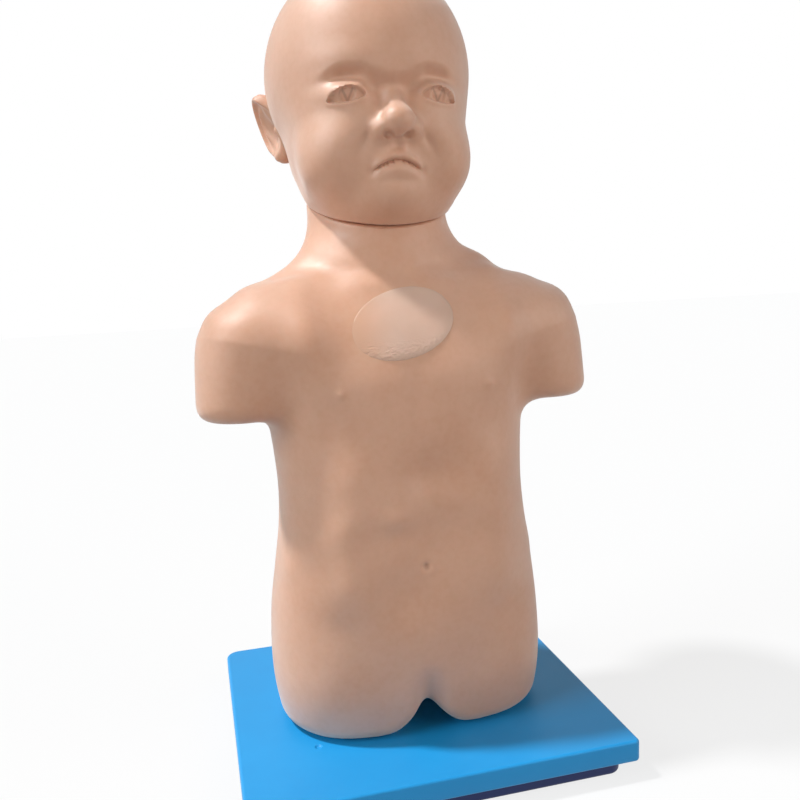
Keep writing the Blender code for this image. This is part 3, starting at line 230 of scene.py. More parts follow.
class Finish(ABC):
    """A finish of the trainer. Each kind says what goes into its Principled shader."""

    @abstractmethod
    def inputs(self, graph: Graph) -> dict:
        """The shader's values, sockets or expressions, by socket name."""

    def make(self, name: str) -> bpy.types.Material:
        """Make the material under a name."""
        graph = Graph(bpy.data.materials.new(name), "ShaderNodeOutputMaterial")
        graph.close(graph.node("ShaderNodeBsdfPrincipled", None, self.inputs(graph)))
        return graph.owner


@dataclass(frozen=True)
class VinylSkin(Finish):
    """Soft flesh-coloured vinyl: uneven pigment, a fine satin bloom and a faint moulded grain, with painted
    shade in the navel and along the eyes' carved iris lines.
    """

    light: Colour = (0.690, 0.380, 0.245)
    deep: Colour = (0.610, 0.300, 0.172)
    # dark brown painted shade, laid into the navel hollow and along the eyes' carved iris lines
    painted_shade: Colour = (0.300, 0.130, 0.080)
    roughness: float = 0.50
    navel: Colour = (0.0, -0.0755, 0.1607)
    eye: Colour = (0.0321, -0.0400, 0.4857)
    temple: Colour = (-0.066, 0.020, 0.515)
    sheen: float = 0.45

    def inputs(self, graph: Graph) -> dict:
        """Lay out the finish."""
        broad = graph.noise(0.060, 3.0, 0.55)
        fine = graph.noise(0.0045, 2.0, 0.5, seed=3.0)
        speck = graph.noise(0.0012, 1.0, 0.5, seed=7.0)
        drift = broad.ramp(0.34, 0.68) * 0.55 + fine.ramp(0.35, 0.72) * 0.22
        colour = graph.mix(drift, self.light, self.deep)
        streak = graph.noise(0.004, 2.0, 0.6, graph.stretched((1.0, 1.0, 0.10)), 11.0)
        temple = graph.near(self.temple, (0.022, 0.030, 0.050)).ramp(1.0, 0.3)
        colour = graph.mix(streak.ramp(0.52, 0.70) * temple * 0.30, colour, self.deep)
        # painted shade: a dark soft dot in the navel hollow, where shade falls
        navel_shade = graph.near(self.navel, (0.0034, 0.010, 0.0038)).ramp(1.0, 0.25)
        colour = graph.mix(navel_shade * 0.45, colour, self.painted_shade)
        x, y, z = graph.axes()
        across = abs(x) - self.eye[0]
        up = z - self.eye[2] + across * EYE_DROOP
        above = up - IRIS_RISE
        disc = up.math("SQRT", across * across + above * above)
        # painted shade along the eyes' carved iris circle and V, on unpainted skin; the lid mask keeps it to
        # the eye openings
        ring = abs(disc - IRIS_RADIUS).ramp(0.0010, 0.0002) * up.ramp(0.0010, 0.0050) * 0.7
        iris_vee_shade = abs(abs(across) - (up + 0.0016) * 0.46).ramp(0.0014, 0.0003) * disc.ramp(IRIS_RADIUS, 0.0050)
        lid = (across * across).ramp(0.000121, 0.000081) * abs(up - 0.0022).ramp(0.0062, 0.0052)
        lid = lid * y.ramp(0.0, -0.010)
        colour = graph.mix(ring.math("MAXIMUM", ring, iris_vee_shade) * lid * 0.45, colour, self.painted_shade)
        rough = self.roughness + (broad - 0.5) * 0.16 + (fine - 0.5) * 0.10
        normal = graph.bump(fine * 0.7 + speck * 0.3, 0.00012)
        return {"Base Color": colour, "Roughness": rough, "Normal": normal, "IOR": 1.45,
                "Specular IOR Level": 1.0, "Sheen Weight": self.sheen, "Subsurface Weight": 0.25,
                "Subsurface Scale": 0.006, "Subsurface Radius": (1.0, 0.35, 0.2)}


@dataclass(frozen=True)
class PatchSkin(Finish):
    """Thin bonded film of skin elastomer: a shade paler, with small creases along its lower edge and painted
    shade on their wrinkles.
    """

    light: Colour = (0.760, 0.520, 0.410)
    deep: Colour = (0.690, 0.440, 0.330)
    thin: Colour = (0.670, 0.365, 0.235)
    roughness: float = 0.42

    def inputs(self, graph: Graph) -> dict:
        """Lay out the finish."""
        across, _, height = graph.axes()
        broad = graph.noise(0.030, 3.0, 0.55, seed=1.0)
        crease = graph.noise(0.0050, 3.0, 0.6, graph.stretched((0.6, 1.0, 1.3)), 5.0)
        low = height.ramp(0.326, 0.311)
        # the deeper colour that follows the wrinkle noise along the lower edge is painted shade of the
        # wrinkles; the bump below gives their real relief
        share = broad.ramp(0.35, 0.7) * 0.6 + low * crease.ramp(0.5, 0.7) * 0.25
        colour = graph.mix(share, self.light, self.deep)
        colour = graph.mix(across.ramp(-0.008, -0.038) * 0.8, colour, self.thin)
        normal = graph.bump(abs(crease - 0.5) * 2.0 * low, 0.0009)
        rough = self.roughness + (broad - 0.5) * 0.14
        return {"Base Color": colour, "Roughness": rough, "Normal": normal, "IOR": 1.45,
                "Subsurface Weight": 0.10, "Subsurface Scale": 0.003}


@dataclass(frozen=True)
class MouldedPlastic(Finish):
    """Injection-moulded plastic: fine spark grain, slight clouding, rubbed and lightly scratched."""

    colour: Colour
    worn: Colour
    roughness: float = 0.38
    grain: float = 0.0006
    grain_depth: float = 0.00004
    scratches: float = 0.25
    gloss: float = 0.45

    def inputs(self, graph: Graph) -> dict:
        """Lay out the finish."""
        cloud = graph.noise(0.045, 3.0, 0.6, seed=2.0)
        grain = graph.noise(self.grain, 1.0, 0.5, seed=4.0)
        hair = graph.noise(0.0035, 2.0, 0.5, graph.stretched((0.08, 1.0, 1.0)), 9.0)
        line = hair.ramp(0.66, 0.70) * self.scratches
        colour = graph.mix(cloud.ramp(0.35, 0.75) * 0.35 + line * 0.5, self.colour, self.worn)
        rough = self.roughness + (cloud - 0.5) * 0.12 + line * 0.15
        normal = graph.bump(grain - line * 0.4, self.grain_depth)
        return {"Base Color": colour, "Roughness": rough, "Normal": normal, "IOR": 1.49,
                "Specular IOR Level": self.gloss}


@dataclass(frozen=True)
class PlatedSteel(Finish):
    """Zinc-plated steel: a pale metal with a fine turned grain and slight clouding."""

    bright: Colour = (0.70, 0.70, 0.69)
    dull: Colour = (0.48, 0.48, 0.47)
    roughness: float = 0.30

    def inputs(self, graph: Graph) -> dict:
        """Lay out the finish."""
        cloud = graph.noise(0.0030, 3.0, 0.6)
        grain = graph.noise(0.0004, 1.0, 0.5, seed=6.0)
        colour = graph.mix(cloud.ramp(0.4, 0.7), self.bright, self.dull)
        rough = self.roughness + (cloud - 0.5) * 0.2
        return {"Base Color": colour, "Roughness": rough, "Metallic": 1.0,
                "Normal": graph.bump(grain, 0.00002)}


@dataclass(frozen=True)
class Silicone(Finish):
    """Milky silicone rubber of the bladder and its tube."""

    clear: Colour = (0.74, 0.72, 0.64)
    milky: Colour = (0.62, 0.60, 0.52)

    def inputs(self, graph: Graph) -> dict:
        """Lay out the finish."""
        cloud = graph.noise(0.015, 2.0, 0.5)
        colour = graph.mix(cloud.ramp(0.3, 0.7), self.clear, self.milky)
        return {"Base Color": colour, "Roughness": 0.30 + (cloud - 0.5) * 0.1,
                "Normal": graph.bump(cloud, 0.0002), "IOR": 1.41}


class Finishes:
    """Every finish of the trainer, made once, by the record's slot names."""

    def __init__(self) -> None:
        """Make the materials."""
        finishes = {
            "skin": ("vinyl_skin", VinylSkin()),
            "soft_skin": ("patch_skin", PatchSkin()),
            "light_blue": ("blue_base", MouldedPlastic((0.008, 0.300, 0.690), (0.018, 0.345, 0.750), 0.44)),
            "navy": ("navy_tray", MouldedPlastic((0.009, 0.024, 0.125), (0.016, 0.038, 0.165), 0.48)),
            "white_plastic": ("white_fitting", MouldedPlastic((0.72, 0.72, 0.70), (0.64, 0.63, 0.60), 0.42)),
            "blue_plastic": ("blue_cap", MouldedPlastic((0.060, 0.180, 0.480), (0.090, 0.230, 0.540), 0.35)),
            "silicone": ("milky_silicone", Silicone()),
            "steel": ("plated_steel", PlatedSteel()),
        }
        self.slots = {slot: finish.make(name) for slot, (name, finish) in finishes.items()}

    def dress_nodes(self) -> None:
        """Give every solid that stays in view the finish of its slot."""
        for part in frame["record"]["subparts"]:
            node = frame["nodes"][part["node"]]
            if node.hide_render:
                continue
            for slot in node.material_slots:
                slot.material = self.slots[part["material_slot"]]
            log.info("node %s wears %s", part["node"], part["material_slot"])


def full_turn(count: int) -> Array:
    """Angles evenly round a circle, from 0."""
    return np.linspace(0, 2 * np.pi, count, endpoint=False)


def stacked(*parts: Array) -> Array:
    """Arrays side by side as the last axis, such as x, y and z as points."""
    return np.stack(parts, axis=-1)


@dataclass
class Surface:
    """Points and faces of one closed or open surface, which pieces are put together from."""

    points: Array
    faces: list

    @classmethod
    def loft(cls, rings: Array) -> "Surface":
        """Join closed rings of equal count by quads, and close the first and last with a face.

        Args:
            rings: Points as rows, columns, xyz.

        Returns:
            The surface.
        """
        rows, columns = rings.shape[:2]
        index = np.arange(rows * columns).reshape(rows, columns)
        following = np.roll(index, -1, axis=1)
        quads = stacked(index[:-1], following[:-1], following[1:], index[1:]).reshape(-1, 4)
        caps = [index[0, ::-1].tolist(), index[-1].tolist()]
        return cls(rings.reshape(-1, 3), quads.tolist() + caps)

    @classmethod
    def together(cls, surfaces: Sequence["Surface"]) -> "Surface":
        """Several surfaces as one, each with its own points."""
        points, faces, start = [], [], 0
        for surface in surfaces:
            points.append(surface.points)
            faces.extend([[start + k for k in face] for face in surface.faces])
            start += len(surface.points)
        return cls(np.concatenate(points), faces)

    def mirrored(self) -> "Surface":
        """The same surface on the other side of the manikin, still facing outwards."""
        return Surface(self.points * (-1, 1, 1), [face[::-1] for face in self.faces])

    def placed(self, origin: Vector, direction: Vector) -> "Surface":
        """The surface with its Z turned to a direction and its origin moved.

        Args:
            origin: Where its origin goes.
            direction: Where its Z points.

        Returns:
            The placed surface.
        """
        turn = np.array(Vector((0, 0, 1)).rotation_difference(direction.normalized()).to_matrix())
        return Surface(self.points @ turn.T + np.array(origin), self.faces)


def make_piece(name: str, surface: Surface, finishes: Finishes, slot: str, body: str, node: str,
               crease: float = 40.0) -> None:
    """Make a piece of the trainer from a surface, hang it on its body, and hide the solid that it replaces.

    Args:
        name: The piece's name.
        surface: Its points and faces.
        finishes: The materials.
        slot: The record's material slot.
        body: The body that carries it.
        node: The solid that it replaces.
        crease: The angle in degrees past which an edge stays crisp.
    """
    mesh = bpy.data.meshes.new(name)
    mesh.from_pydata(surface.points.tolist(), [], surface.faces)
    mesh.validate()
    mesh.shade_smooth()
    mesh.set_sharp_from_angle(angle=math.radians(crease))
    mesh.materials.append(finishes.slots[slot])
    piece = bpy.data.objects.new(name, mesh)
    bpy.context.scene.collection.objects.link(piece)
    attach(piece, body)
    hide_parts(node)
    log.info("piece %s: %d points", name, len(mesh.vertices))


def rounded_rectangle(half_width: float, half_depth: float, rear: float, front: float,
                      steps: int = 14) -> Array:
    """Outline of a rectangle with rounded corners: four quarter circles joined by straight sides.

    Args:
        half_width: Half its size along x.
        half_depth: Half its size along y.
        rear: The radius of the two corners at the back.
        front: The radius of the two corners at the front.
        steps: Points for each quarter circle.

    Returns:
        Points as (count, 2), anticlockwise.
    """
    turn = np.linspace(0, np.pi / 2, steps)
    angle = np.concatenate([turn + quarter * np.pi / 2 for quarter in range(4)])
    sign = np.repeat([(1, 1), (-1, 1), (-1, -1), (1, -1)], steps, axis=0)
    radius = np.repeat([rear, rear, front, front], steps)[:, None]
    centre = sign * (np.array([half_width, half_depth]) - radius)
    return centre + radius * stacked(np.cos(angle), np.sin(angle))


def rim_loft(half_width: float, half_depth: float, corner: float, profile: Profile,
             centre: tuple[float, float] = (0.0, 0.0), front_corner: float | None = None,
             first: Sequence[Array] = ()) -> Surface:
    """A slab whose outline is drawn in by the inset of each (inset, height) pair of a profile.

    Args:
        half_width: Half the slab's size along x.
        half_depth: Half its size along y.
        corner: Its corners' radius where the inset is 0.
        profile: (inset, height) pairs that run from one end face to the other.
        centre: The slab's middle in plan.
        front_corner: The radius of the two front corners, where it differs.
        first: Rings that go before the profile's own.

    Returns:
        The closed surface.
    """
    rings = list(first)
    for inset, height in profile:
        rear, front = (max(radius - inset, 0.0004) for radius in (corner, front_corner or corner))
        outline = rounded_rectangle(half_width - inset, half_depth - inset, rear, front)
        rings.append(np.column_stack([outline + centre, np.full(len(outline), height)]))
    return Surface.loft(np.array(rings))


def turned(profile: Profile, sides: int = 40, ribs: float = 0.0, count: int = 0) -> Surface:
    """A turned solid: a profile carried round Z, whose widest part may swell into grip ribs.

    Args:
        profile: (radius, height) pairs from the bottom to the top.
        sides: Points round the axis.
        ribs: How far the grip ribs stand out.
        count: The number of grip ribs.

    Returns:
        The closed surface.
    """
    angle = full_turn(sides)
    radius, height = np.array(profile).T
    widest = radius[:, None] > radius.max() - 0.0002
    swell = ribs * np.maximum(np.cos(angle * count), 0)[None, :] * widest
    reach = radius[:, None] + swell
    level = np.repeat(height[:, None], sides, 1)
    return Surface.loft(stacked(reach * np.cos(angle), reach * np.sin(angle), level))


def arc(centre: tuple[float, float], radius: float, start: float, end: float, steps: int = 6) -> list:
    """Points of a circular arc in a profile, from one angle in degrees to another."""
    angles = np.radians(np.linspace(start, end, steps))
    return [(centre[0] + radius * math.cos(a), centre[1] + radius * math.sin(a)) for a in angles]


def smooth_min(a: Array, b: Array, reach: float) -> Array:
    """The smaller of two distances, less a quarter of the reach where they meet, which makes a fillet."""
    h = np.clip(0.5 + 0.5 * (b - a) / reach, 0, 1)
    return b * (1 - h) + a * h - reach * h * (1 - h)


def smooth_max(a: Array, b: Array, reach: float) -> Array:
    """The larger of two distances, rounded over a reach."""
    return -smooth_min(-a, -b, reach)


def joined(distance: Array, *others: tuple[Array, float]) -> Array:
    """A distance blended with others, one after another, each over its own reach."""
    for other, reach in others:
        distance = smooth_min(distance, other, reach)
    return distance


def step(value: Array, low: float, high: float) -> Array:
    """A smooth step from 0 at low to 1 at high: 3t squared less 2t cubed."""
    t = np.clip((value - low) / (high - low), 0, 1)
    return t * t * (3 - 2 * t)


def hill(*shares: Array) -> Array:
    """A bell of height 1: e to the minus sum of squares of the shares."""
    return np.exp(-sum(share**2 for share in shares))


def ellipsoid(p: Array, centre: Sequence[float], radii: Sequence[float]) -> Array:
    """Distance to an ellipsoid, nearly true close to its surface: k0 (k0 - 1) / k1."""
    q = p - np.asarray(centre)
    radii = np.asarray(radii)
    k0 = np.linalg.norm(q / radii, axis=-1)
    k1 = np.linalg.norm(q / radii**2, axis=-1)
    return k0 * (k0 - 1) / np.maximum(k1, 1e-9)


def round_cone(p: Array, start: Sequence[float], end: Sequence[float], start_radius: float,
               end_radius: float) -> Array:
    """Distance to a round-ended cone: the distance to its axis less a radius that changes along it."""
    start, end = np.asarray(start), np.asarray(end)
    axis = end - start
    t = np.clip(((p - start) @ axis) / (axis @ axis), 0, 1)
    radius = start_radius + (end_radius - start_radius) * t
    return np.linalg.norm(p - (start + t[..., None] * axis), axis=-1) - radius


def both_sides(p: Array) -> Array:
    """The same points on the +X side, because the forms are symmetric."""
    return stacked(np.abs(p[..., 0]), p[..., 1], p[..., 2])


def joint_level(p: Array) -> Array:
    """Height of points above the tipped plane of the neck joint."""
    return (p[..., 2] - JOINT_HEIGHT) * math.cos(JOINT_TILT) - (p[..., 1] - NECK_Y) * math.sin(JOINT_TILT)


def joint_across(p: Array) -> Array:
    """How far back points lie from the joint's axis, within its tipped plane."""
    return (p[..., 1] - NECK_Y) * math.cos(JOINT_TILT) + (p[..., 2] - JOINT_HEIGHT) * math.sin(JOINT_TILT)


def slope_of(form: Field, p: Array, gap: float = 1e-4) -> Array:
    """The direction in which a distance grows, by central differences."""
    return stacked(*((form(p + shift) - form(p - shift)) / (2 * gap) for shift in np.eye(3) * gap))


def settle(form: Field, p: Array, rounds: int = 3) -> Array:
    """Move points onto the surface of a form by Newton steps."""
    for _ in range(rounds):
        slope = slope_of(form, p)
        p = p - slope * (form(p) / np.maximum((slope**2).sum(-1), 1e-6))[..., None]
    return p


def net_of(form: Field, low: Array, high: Array, cell: float) -> Surface:
    """Quads over the zero surface of a form.

    The form is worked out on a box of cubes. Each cube that the surface crosses holds one point,
    the mean of the crossings on its edges, and each crossed edge joins the four points round it.

    Args:
        form: The distance to the surface, negative inside.
        low: The box's lowest corner.
        high: The box's highest corner.
        cell: The cubes' size.

    Returns:
        The surface, facing outwards.
    """
    counts = np.ceil((high - low) / cell).astype(int) + 1
    lines = (low[k] + cell * np.arange(counts[k]) for k in range(3))
    points = stacked(*np.meshgrid(*lines, indexing="ij"))
    values = form(points)
    solid = values < 0
    total = np.zeros([n - 1 for n in counts] + [3])
    crossings = np.zeros([n - 1 for n in counts])
    edges = []
    for axis in range(3):
        near = tuple(slice(0, n - (k == axis)) for k, n in enumerate(counts))
        far = tuple(slice(int(k == axis), n) for k, n in enumerate(counts))
        crossed = solid[near] != solid[far]
        share = np.where(crossed, values[near] / np.where(crossed, values[near] - values[far], 1.0), 0.0)
        meeting = points[near].copy()
        meeting[..., axis] += share * cell
        first, second = [k for k in range(3) if k != axis]
        for i, j in ((0, 0), (0, 1), (1, 0), (1, 1)):
            window = [slice(None)] * 3
            window[first] = slice(i, i + counts[first] - 1)
            window[second] = slice(j, j + counts[second] - 1)
            here = crossed[tuple(window)]
            total += here[..., None] * meeting[tuple(window)]
            crossings += here
        edges.append((axis, first, second, crossed, solid[near]))
    active = crossings > 0
    number = np.full(active.shape, -1)
    number[active] = np.arange(active.sum())
    quads = []
    for axis, first, second, crossed, inner in edges:
        index = np.argwhere(crossed)
        fits = (index[:, [first, second]] > 0).all(1)
        fits &= (index[:, first] < counts[first] - 1) & (index[:, second] < counts[second] - 1)
        index = index[fits]
        corners = []
        for i, j in ((1, 1), (0, 1), (0, 0), (1, 0)):
            cube = index.copy()
            cube[:, first] -= i
            cube[:, second] -= j
            corners.append(number[tuple(cube.T)])
        ring = stacked(*corners)
        backwards = inner[tuple(index.T)] == (axis == 1)
        ring[backwards] = ring[backwards][:, ::-1]
        quads.append(ring)
    return Surface(total[active] / crossings[active][:, None], np.concatenate(quads))


def halved(surface: Surface) -> Surface:
    """Split each quad into four, with new points at the middles of its edges and of itself.

    Args:
        surface: A surface whose faces are an array of quads.

    Returns:
        The finer surface.
    """
    quads = np.asarray(surface.faces)
    pairs = np.sort(stacked(quads, np.roll(quads, -1, axis=1)), axis=-1)
    edges, where = np.unique(pairs.reshape(-1, 2), axis=0, return_inverse=True)
    middle = where.reshape(-1, 4) + len(surface.points)
    centre = (len(surface.points) + len(edges) + np.arange(len(quads)))[:, None]
    points = np.concatenate([surface.points, surface.points[edges].mean(1), surface.points[quads].mean(1)])
    fine = [stacked(quads[:, k], middle[:, k], centre[:, 0], middle[:, k - 1]) for k in range(4)]
    return Surface(points, np.concatenate(fine))


def cubic_through(height: Array, knots: Array, values: Array) -> Array:
    """Cubic curve through (knot, value) pairs, with the mean slope at each knot."""
    slopes = np.gradient(values, knots)
    height = np.clip(height, knots[0], knots[-1])
    index = np.clip(np.searchsorted(knots, height) - 1, 0, len(knots) - 2)
    span = knots[index + 1] - knots[index]
    t = (height - knots[index]) / span
    start = (2 * t**3 - 3 * t**2 + 1) * values[index] + (t**3 - 2 * t**2 + t) * span * slopes[index]
    return start + (3 * t**2 - 2 * t**3) * values[index + 1] + (t**3 - t**2) * span * slopes[index + 1]


@dataclass(frozen=True)
class Mound:
    """A soft hill on the skin, or a hollow where its height is below 0: a bell over x and z.

    It is on both sides unless it is single.
    """

    height: float
    x: float
    width: float
    z: float
    tall: float
    single: bool = False

    def over(self, p: Array) -> Array:
        """Its height over points."""
        x = p[..., 0] if self.single else np.abs(p[..., 0])
        return self.height * hill((x - self.x) / self.width, (p[..., 2] - self.z) / self.tall)


@dataclass(frozen=True)
class Ridge:
    """A long ridge at both sides, or a groove. It fades in over its bottom and out over its top."""

    height: float
    x: float
    width: float
    top: tuple[float, float]
    bottom: tuple[float, float] = (-1.0, -0.9)

    def over(self, p: Array) -> Array:
        """Its height over points."""
        z = p[..., 2]
        ends = step(z, *self.bottom) * step(-z, -self.top[1], -self.top[0])
        return self.height * hill((np.abs(p[..., 0]) - self.x) / self.width) * ends


def raised(p: Array, forms: Sequence[Mound | Ridge]) -> Array:
    """The height of several mounds and ridges together."""
    return sum(form.over(p) for form in forms)


@dataclass
class TorsoForm:
    """The torso's skin: a swept trunk joined to arm and thigh stumps, with the relief of a child's body."""

    knots: tuple = (0.000, 0.030, 0.060, 0.090, 0.120, 0.150, 0.180, 0.210, 0.240, 0.270, 0.300, 0.325, 0.345)
    widths: tuple = (0.094, 0.100, 0.103, 0.104, 0.100, 0.0955, 0.0935, 0.095, 0.098, 0.100, 0.094, 0.076,
                     0.058)
    fronts: tuple = (0.068, 0.0715, 0.0735, 0.0755, 0.077, 0.0775, 0.0765, 0.075, 0.073, 0.069, 0.058, 0.042,
                     0.030)
    backs: tuple = (0.060, 0.067, 0.071, 0.071, 0.068, 0.066, 0.068, 0.072, 0.077, 0.080, 0.080, 0.074, 0.066)
    power: float = 2.35
    top: float = 0.338
    shoulder: tuple = (0.104, -0.008, 0.2865)
    shoulder_radius: float = 0.0445
    arm_end: tuple = (0.1235, -0.018, 0.215)
    arm_end_radius: float = 0.0280
    arm_cut: float = 0.2385
    trapezius: tuple = ((0.030, 0.030, 0.338), (0.092, 0.006, 0.299), 0.030, 0.031)
    thigh: tuple = ((0.053, -0.003, 0.040), (0.0505, 0.062, 0.085))
    arch: tuple = (0.020, 0.013)
    neck_radius: float = 0.0550
    neck_foot: float = 0.300
    nipple: tuple = (0.0537, 0.258)
    navel_height: float = 0.1317
    pocket_radius: float = 0.0432
    pocket_depth: float = 0.030
    start_depth: float = 0.060
    rounds: int = 40
    stride: float = 0.02
    front_forms: tuple = (
        Mound(-0.0022, 0.0, 0.013, 0.196, 0.014),  # pit of the stomach
        Mound(0.0022, 0.048, 0.034, 0.262, 0.026),  # chest
        Mound(0.0018, 0.0, 0.060, 0.085, 0.035),  # belly
        Mound(-0.0016, 0.0, 0.009, 0.340, 0.009),  # notch over the breastbone
        Mound(-0.0046, 0.013, 0.020, 0.196, 0.022, True),  # uneven hollows of the belly
        Mound(-0.0046, 0.006, 0.022, 0.147, 0.024, True),
        Mound(-0.00322, -0.012, 0.018, 0.112, 0.020, True),
        Mound(0.0030, -0.019, 0.013, 0.168, 0.009, True),  # swell between them
        Ridge(-0.0009, 0.0, 0.008, (0.250, 0.285), (0.150, 0.200)),  # line down the middle
        Ridge(0.0042, 0.055, 0.018, (0.190, 0.235), (0.085, 0.125)),  # edge of each flank
        Ridge(-0.0100, 0.0, 0.0095, (0.016, 0.060)),  # cleft between the thighs
    )
    back_forms: tuple = (
        Ridge(-0.0028, 0.0, 0.010, (0.300, 0.330), (0.085, 0.120)),  # spine
        Mound(0.0030, 0.050, 0.022, 0.262, 0.038),  # shoulder blades
        Mound(0.0060, 0.046, 0.034, 0.052, 0.032),  # seat, and the groove in its middle
        Ridge(-0.0060, 0.0, 0.0055, (0.060, 0.085)),
    )
    shoulder_forms: tuple = (
        Mound(-0.0042, -0.126, 0.017, 0.325, 0.013, True),  # fall of each shoulder
        Mound(-0.0026, 0.144, 0.012, 0.304, 0.014),
        Mound(-0.0024, 0.118, 0.012, 0.330, 0.010, True),
        Mound(0.0046, 0.076, 0.015, 0.349, 0.012, True),  # foot of the neck
    )
    armpit: Mound = Mound(0.0130, 0.072, 0.020, 0.302, 0.036)

    def trunk(self, p: Array) -> Array:
        """Distance to the trunk: |x/a|^n + |y/b|^n = 1, where a and b follow the height."""
        x, y, z = np.moveaxis(p, -1, 0)
        knots = np.array(self.knots)
        wide = cubic_through(z, knots, np.array(self.widths))
        front = cubic_through(z, knots, np.array(self.fronts))
        back = cubic_through(z, knots, np.array(self.backs))
        deep = (back + front) / 2
        reach = np.abs(x / wide) ** self.power + np.abs((y - (back - front) / 2) / deep) ** self.power
        distance = (reach ** (1 / self.power) - 1) * np.minimum(wide, deep)
        return smooth_max(distance, z - self.top, 0.020)

    def body(self, p: Array) -> Array:
        """Distance to trunk, arms, shoulders, thighs and neck, blended, and cut at the neck's plane."""
        side = both_sides(p)
        arm = round_cone(side, self.shoulder, self.arm_end, self.shoulder_radius, self.arm_end_radius)
        arm = smooth_max(arm, self.arm_cut - side[..., 2], 0.014)
        trapezius = round_cone(side, *self.trapezius)
        thigh = ellipsoid(side, *self.thigh)
        neck = np.hypot(p[..., 0], p[..., 1] - NECK_Y) - self.neck_radius
        neck = smooth_max(neck, self.neck_foot - p[..., 2], 0.022)
        arch = (np.hypot(p[..., 0] / self.arch[0], p[..., 2] / self.arch[1]) - 1) * self.arch[1]
        distance = joined(self.trunk(p), (arm, 0.016), (trapezius, 0.020), (thigh, 0.014), (neck, 0.022))
        return smooth_max(smooth_max(distance, -arch, 0.010), -p[..., 2], 0.011)

    def relief(self, p: Array) -> Array:
        """How far the skin stands out of the plain body: a sum of soft hills and hollows."""
        x, y, z = np.abs(p[..., 0]), p[..., 1], p[..., 2]
        below = z - (0.178 - 6.2 * x**2)
        ribs = 0.0006 * hill((below - 0.008) / 0.011)
        ribs = ribs - 0.0016 * hill((below + 0.016) / 0.013, (x - 0.018) / 0.034)
        nipple = np.hypot(x - self.nipple[0], z - self.nipple[1])
        nipples = 0.0014 * hill(nipple / 0.0024) + 0.0005 * hill(nipple / 0.0070)
        hollow = np.hypot(x, z - self.navel_height)
        navel = 0.0005 * hill((hollow - 0.0050) / 0.0025) - 0.0016 * hill(hollow / 0.0028)
        bone = z - (0.330 + 0.10 * (x - 0.010))
        collar = 0.0010 * hill(bone / 0.0065) - 0.0010 * hill((bone - 0.013) / 0.007)
        collar = collar * step(x, 0.008, 0.020) * step(-x, -0.085, -0.060)
        front = raised(p, self.front_forms) + ribs + nipples + navel + collar
        tuck = -0.0045 * step(joint_level(p), -0.024, -0.004) * step(NECK_Y - y, -0.012, 0.025)
        armpit = self.armpit.over(p) * step(-y, 0.000, 0.020)
        around = raised(p, self.shoulder_forms) + tuck + armpit
        return step(-y, 0.015, 0.040) * front + step(y, 0.030, 0.055) * raised(p, self.back_forms) + around

    def distance(self, p: Array) -> Array:
        """Distance to the finished skin, with its rounded neck rim and the pocket of the neck disc."""
        level = joint_level(p)
        distance = smooth_max(self.body(p) - self.relief(p), level, 0.0025)
        across = np.hypot(p[..., 0], joint_across(p)) - self.pocket_radius
        pocket = np.maximum(np.maximum(across, -level - self.pocket_depth), level - 0.02)
        return np.maximum(np.maximum(distance, -pocket), -p[..., 2])

    def depth(self, x: Array, z: Array, facing: Facing) -> Array:
        """The y of the skin over points (x, z), stepping by the distance from a start inside.

        Args:
            x: Places across.
            z: Heights above the base top.
            facing: The side of the manikin.

        Returns:
            The y values.
        """
        y = np.full(np.shape(x), self.start_depth * facing.value)
        for _ in range(self.rounds):
            distance = self.distance(stacked(x, y, z))
            y = y - np.clip(distance, -self.stride, self.stride) * facing.value
        return y

    def spot(self, x: float, z: float, facing: Facing) -> tuple[Vector, Vector]:
        """A point of the skin in place, and the way the skin faces there.

        Args:
            x: Place across.
            z: Height above the base top.
            facing: The side of the manikin.

        Returns:
            The point and the outward direction.
        """
        p = np.array([[x, self.depth(np.array([x]), np.array([z]), facing)[0], z]])
        return Vector(p[0] + (0, 0, LIFT)), Vector(slope_of(self.body, p)[0]).normalized()


@dataclass
class Window:
    """The back window and its cover: a rounded square |x/w|^4 + |z/h|^4 = 1."""

    half_width: float = 0.050
    half_height: float = 0.055
    centre: float = 0.150
    power: float = 4.0
    clearance: float = 0.0005
    screw_inset: float = 0.013

    def share(self, p: Array) -> Array:
        """How far points lie from the middle, as a share of the outline."""
        across = np.abs(p[..., 0] / self.half_width) ** self.power
        up = np.abs((p[..., 2] - self.centre) / self.half_height) ** self.power
        return (across + up) ** (1 / self.power)

    def outline(self, sides: int) -> tuple[Array, Array]:
        """Points of the cover's edge, seen square on, with its middle at 0."""
        angle = 2 * np.pi * np.arange(sides) / sides
        c, s = np.cos(angle), np.sin(angle)
        x = (self.half_width - self.clearance) * np.sign(c) * np.abs(c) ** (2 / self.power)
        z = (self.half_height - self.clearance) * np.sign(s) * np.abs(s) ** (2 / self.power)
        return x, z

    def corners(self) -> list[tuple[float, float]]:
        """Places of the cover's four screws."""
        x = self.half_width - self.screw_inset
        z = self.half_height - self.screw_inset
        return [(i * x, self.centre + j * z) for i in (-1, 1) for j in (-1, 1)]


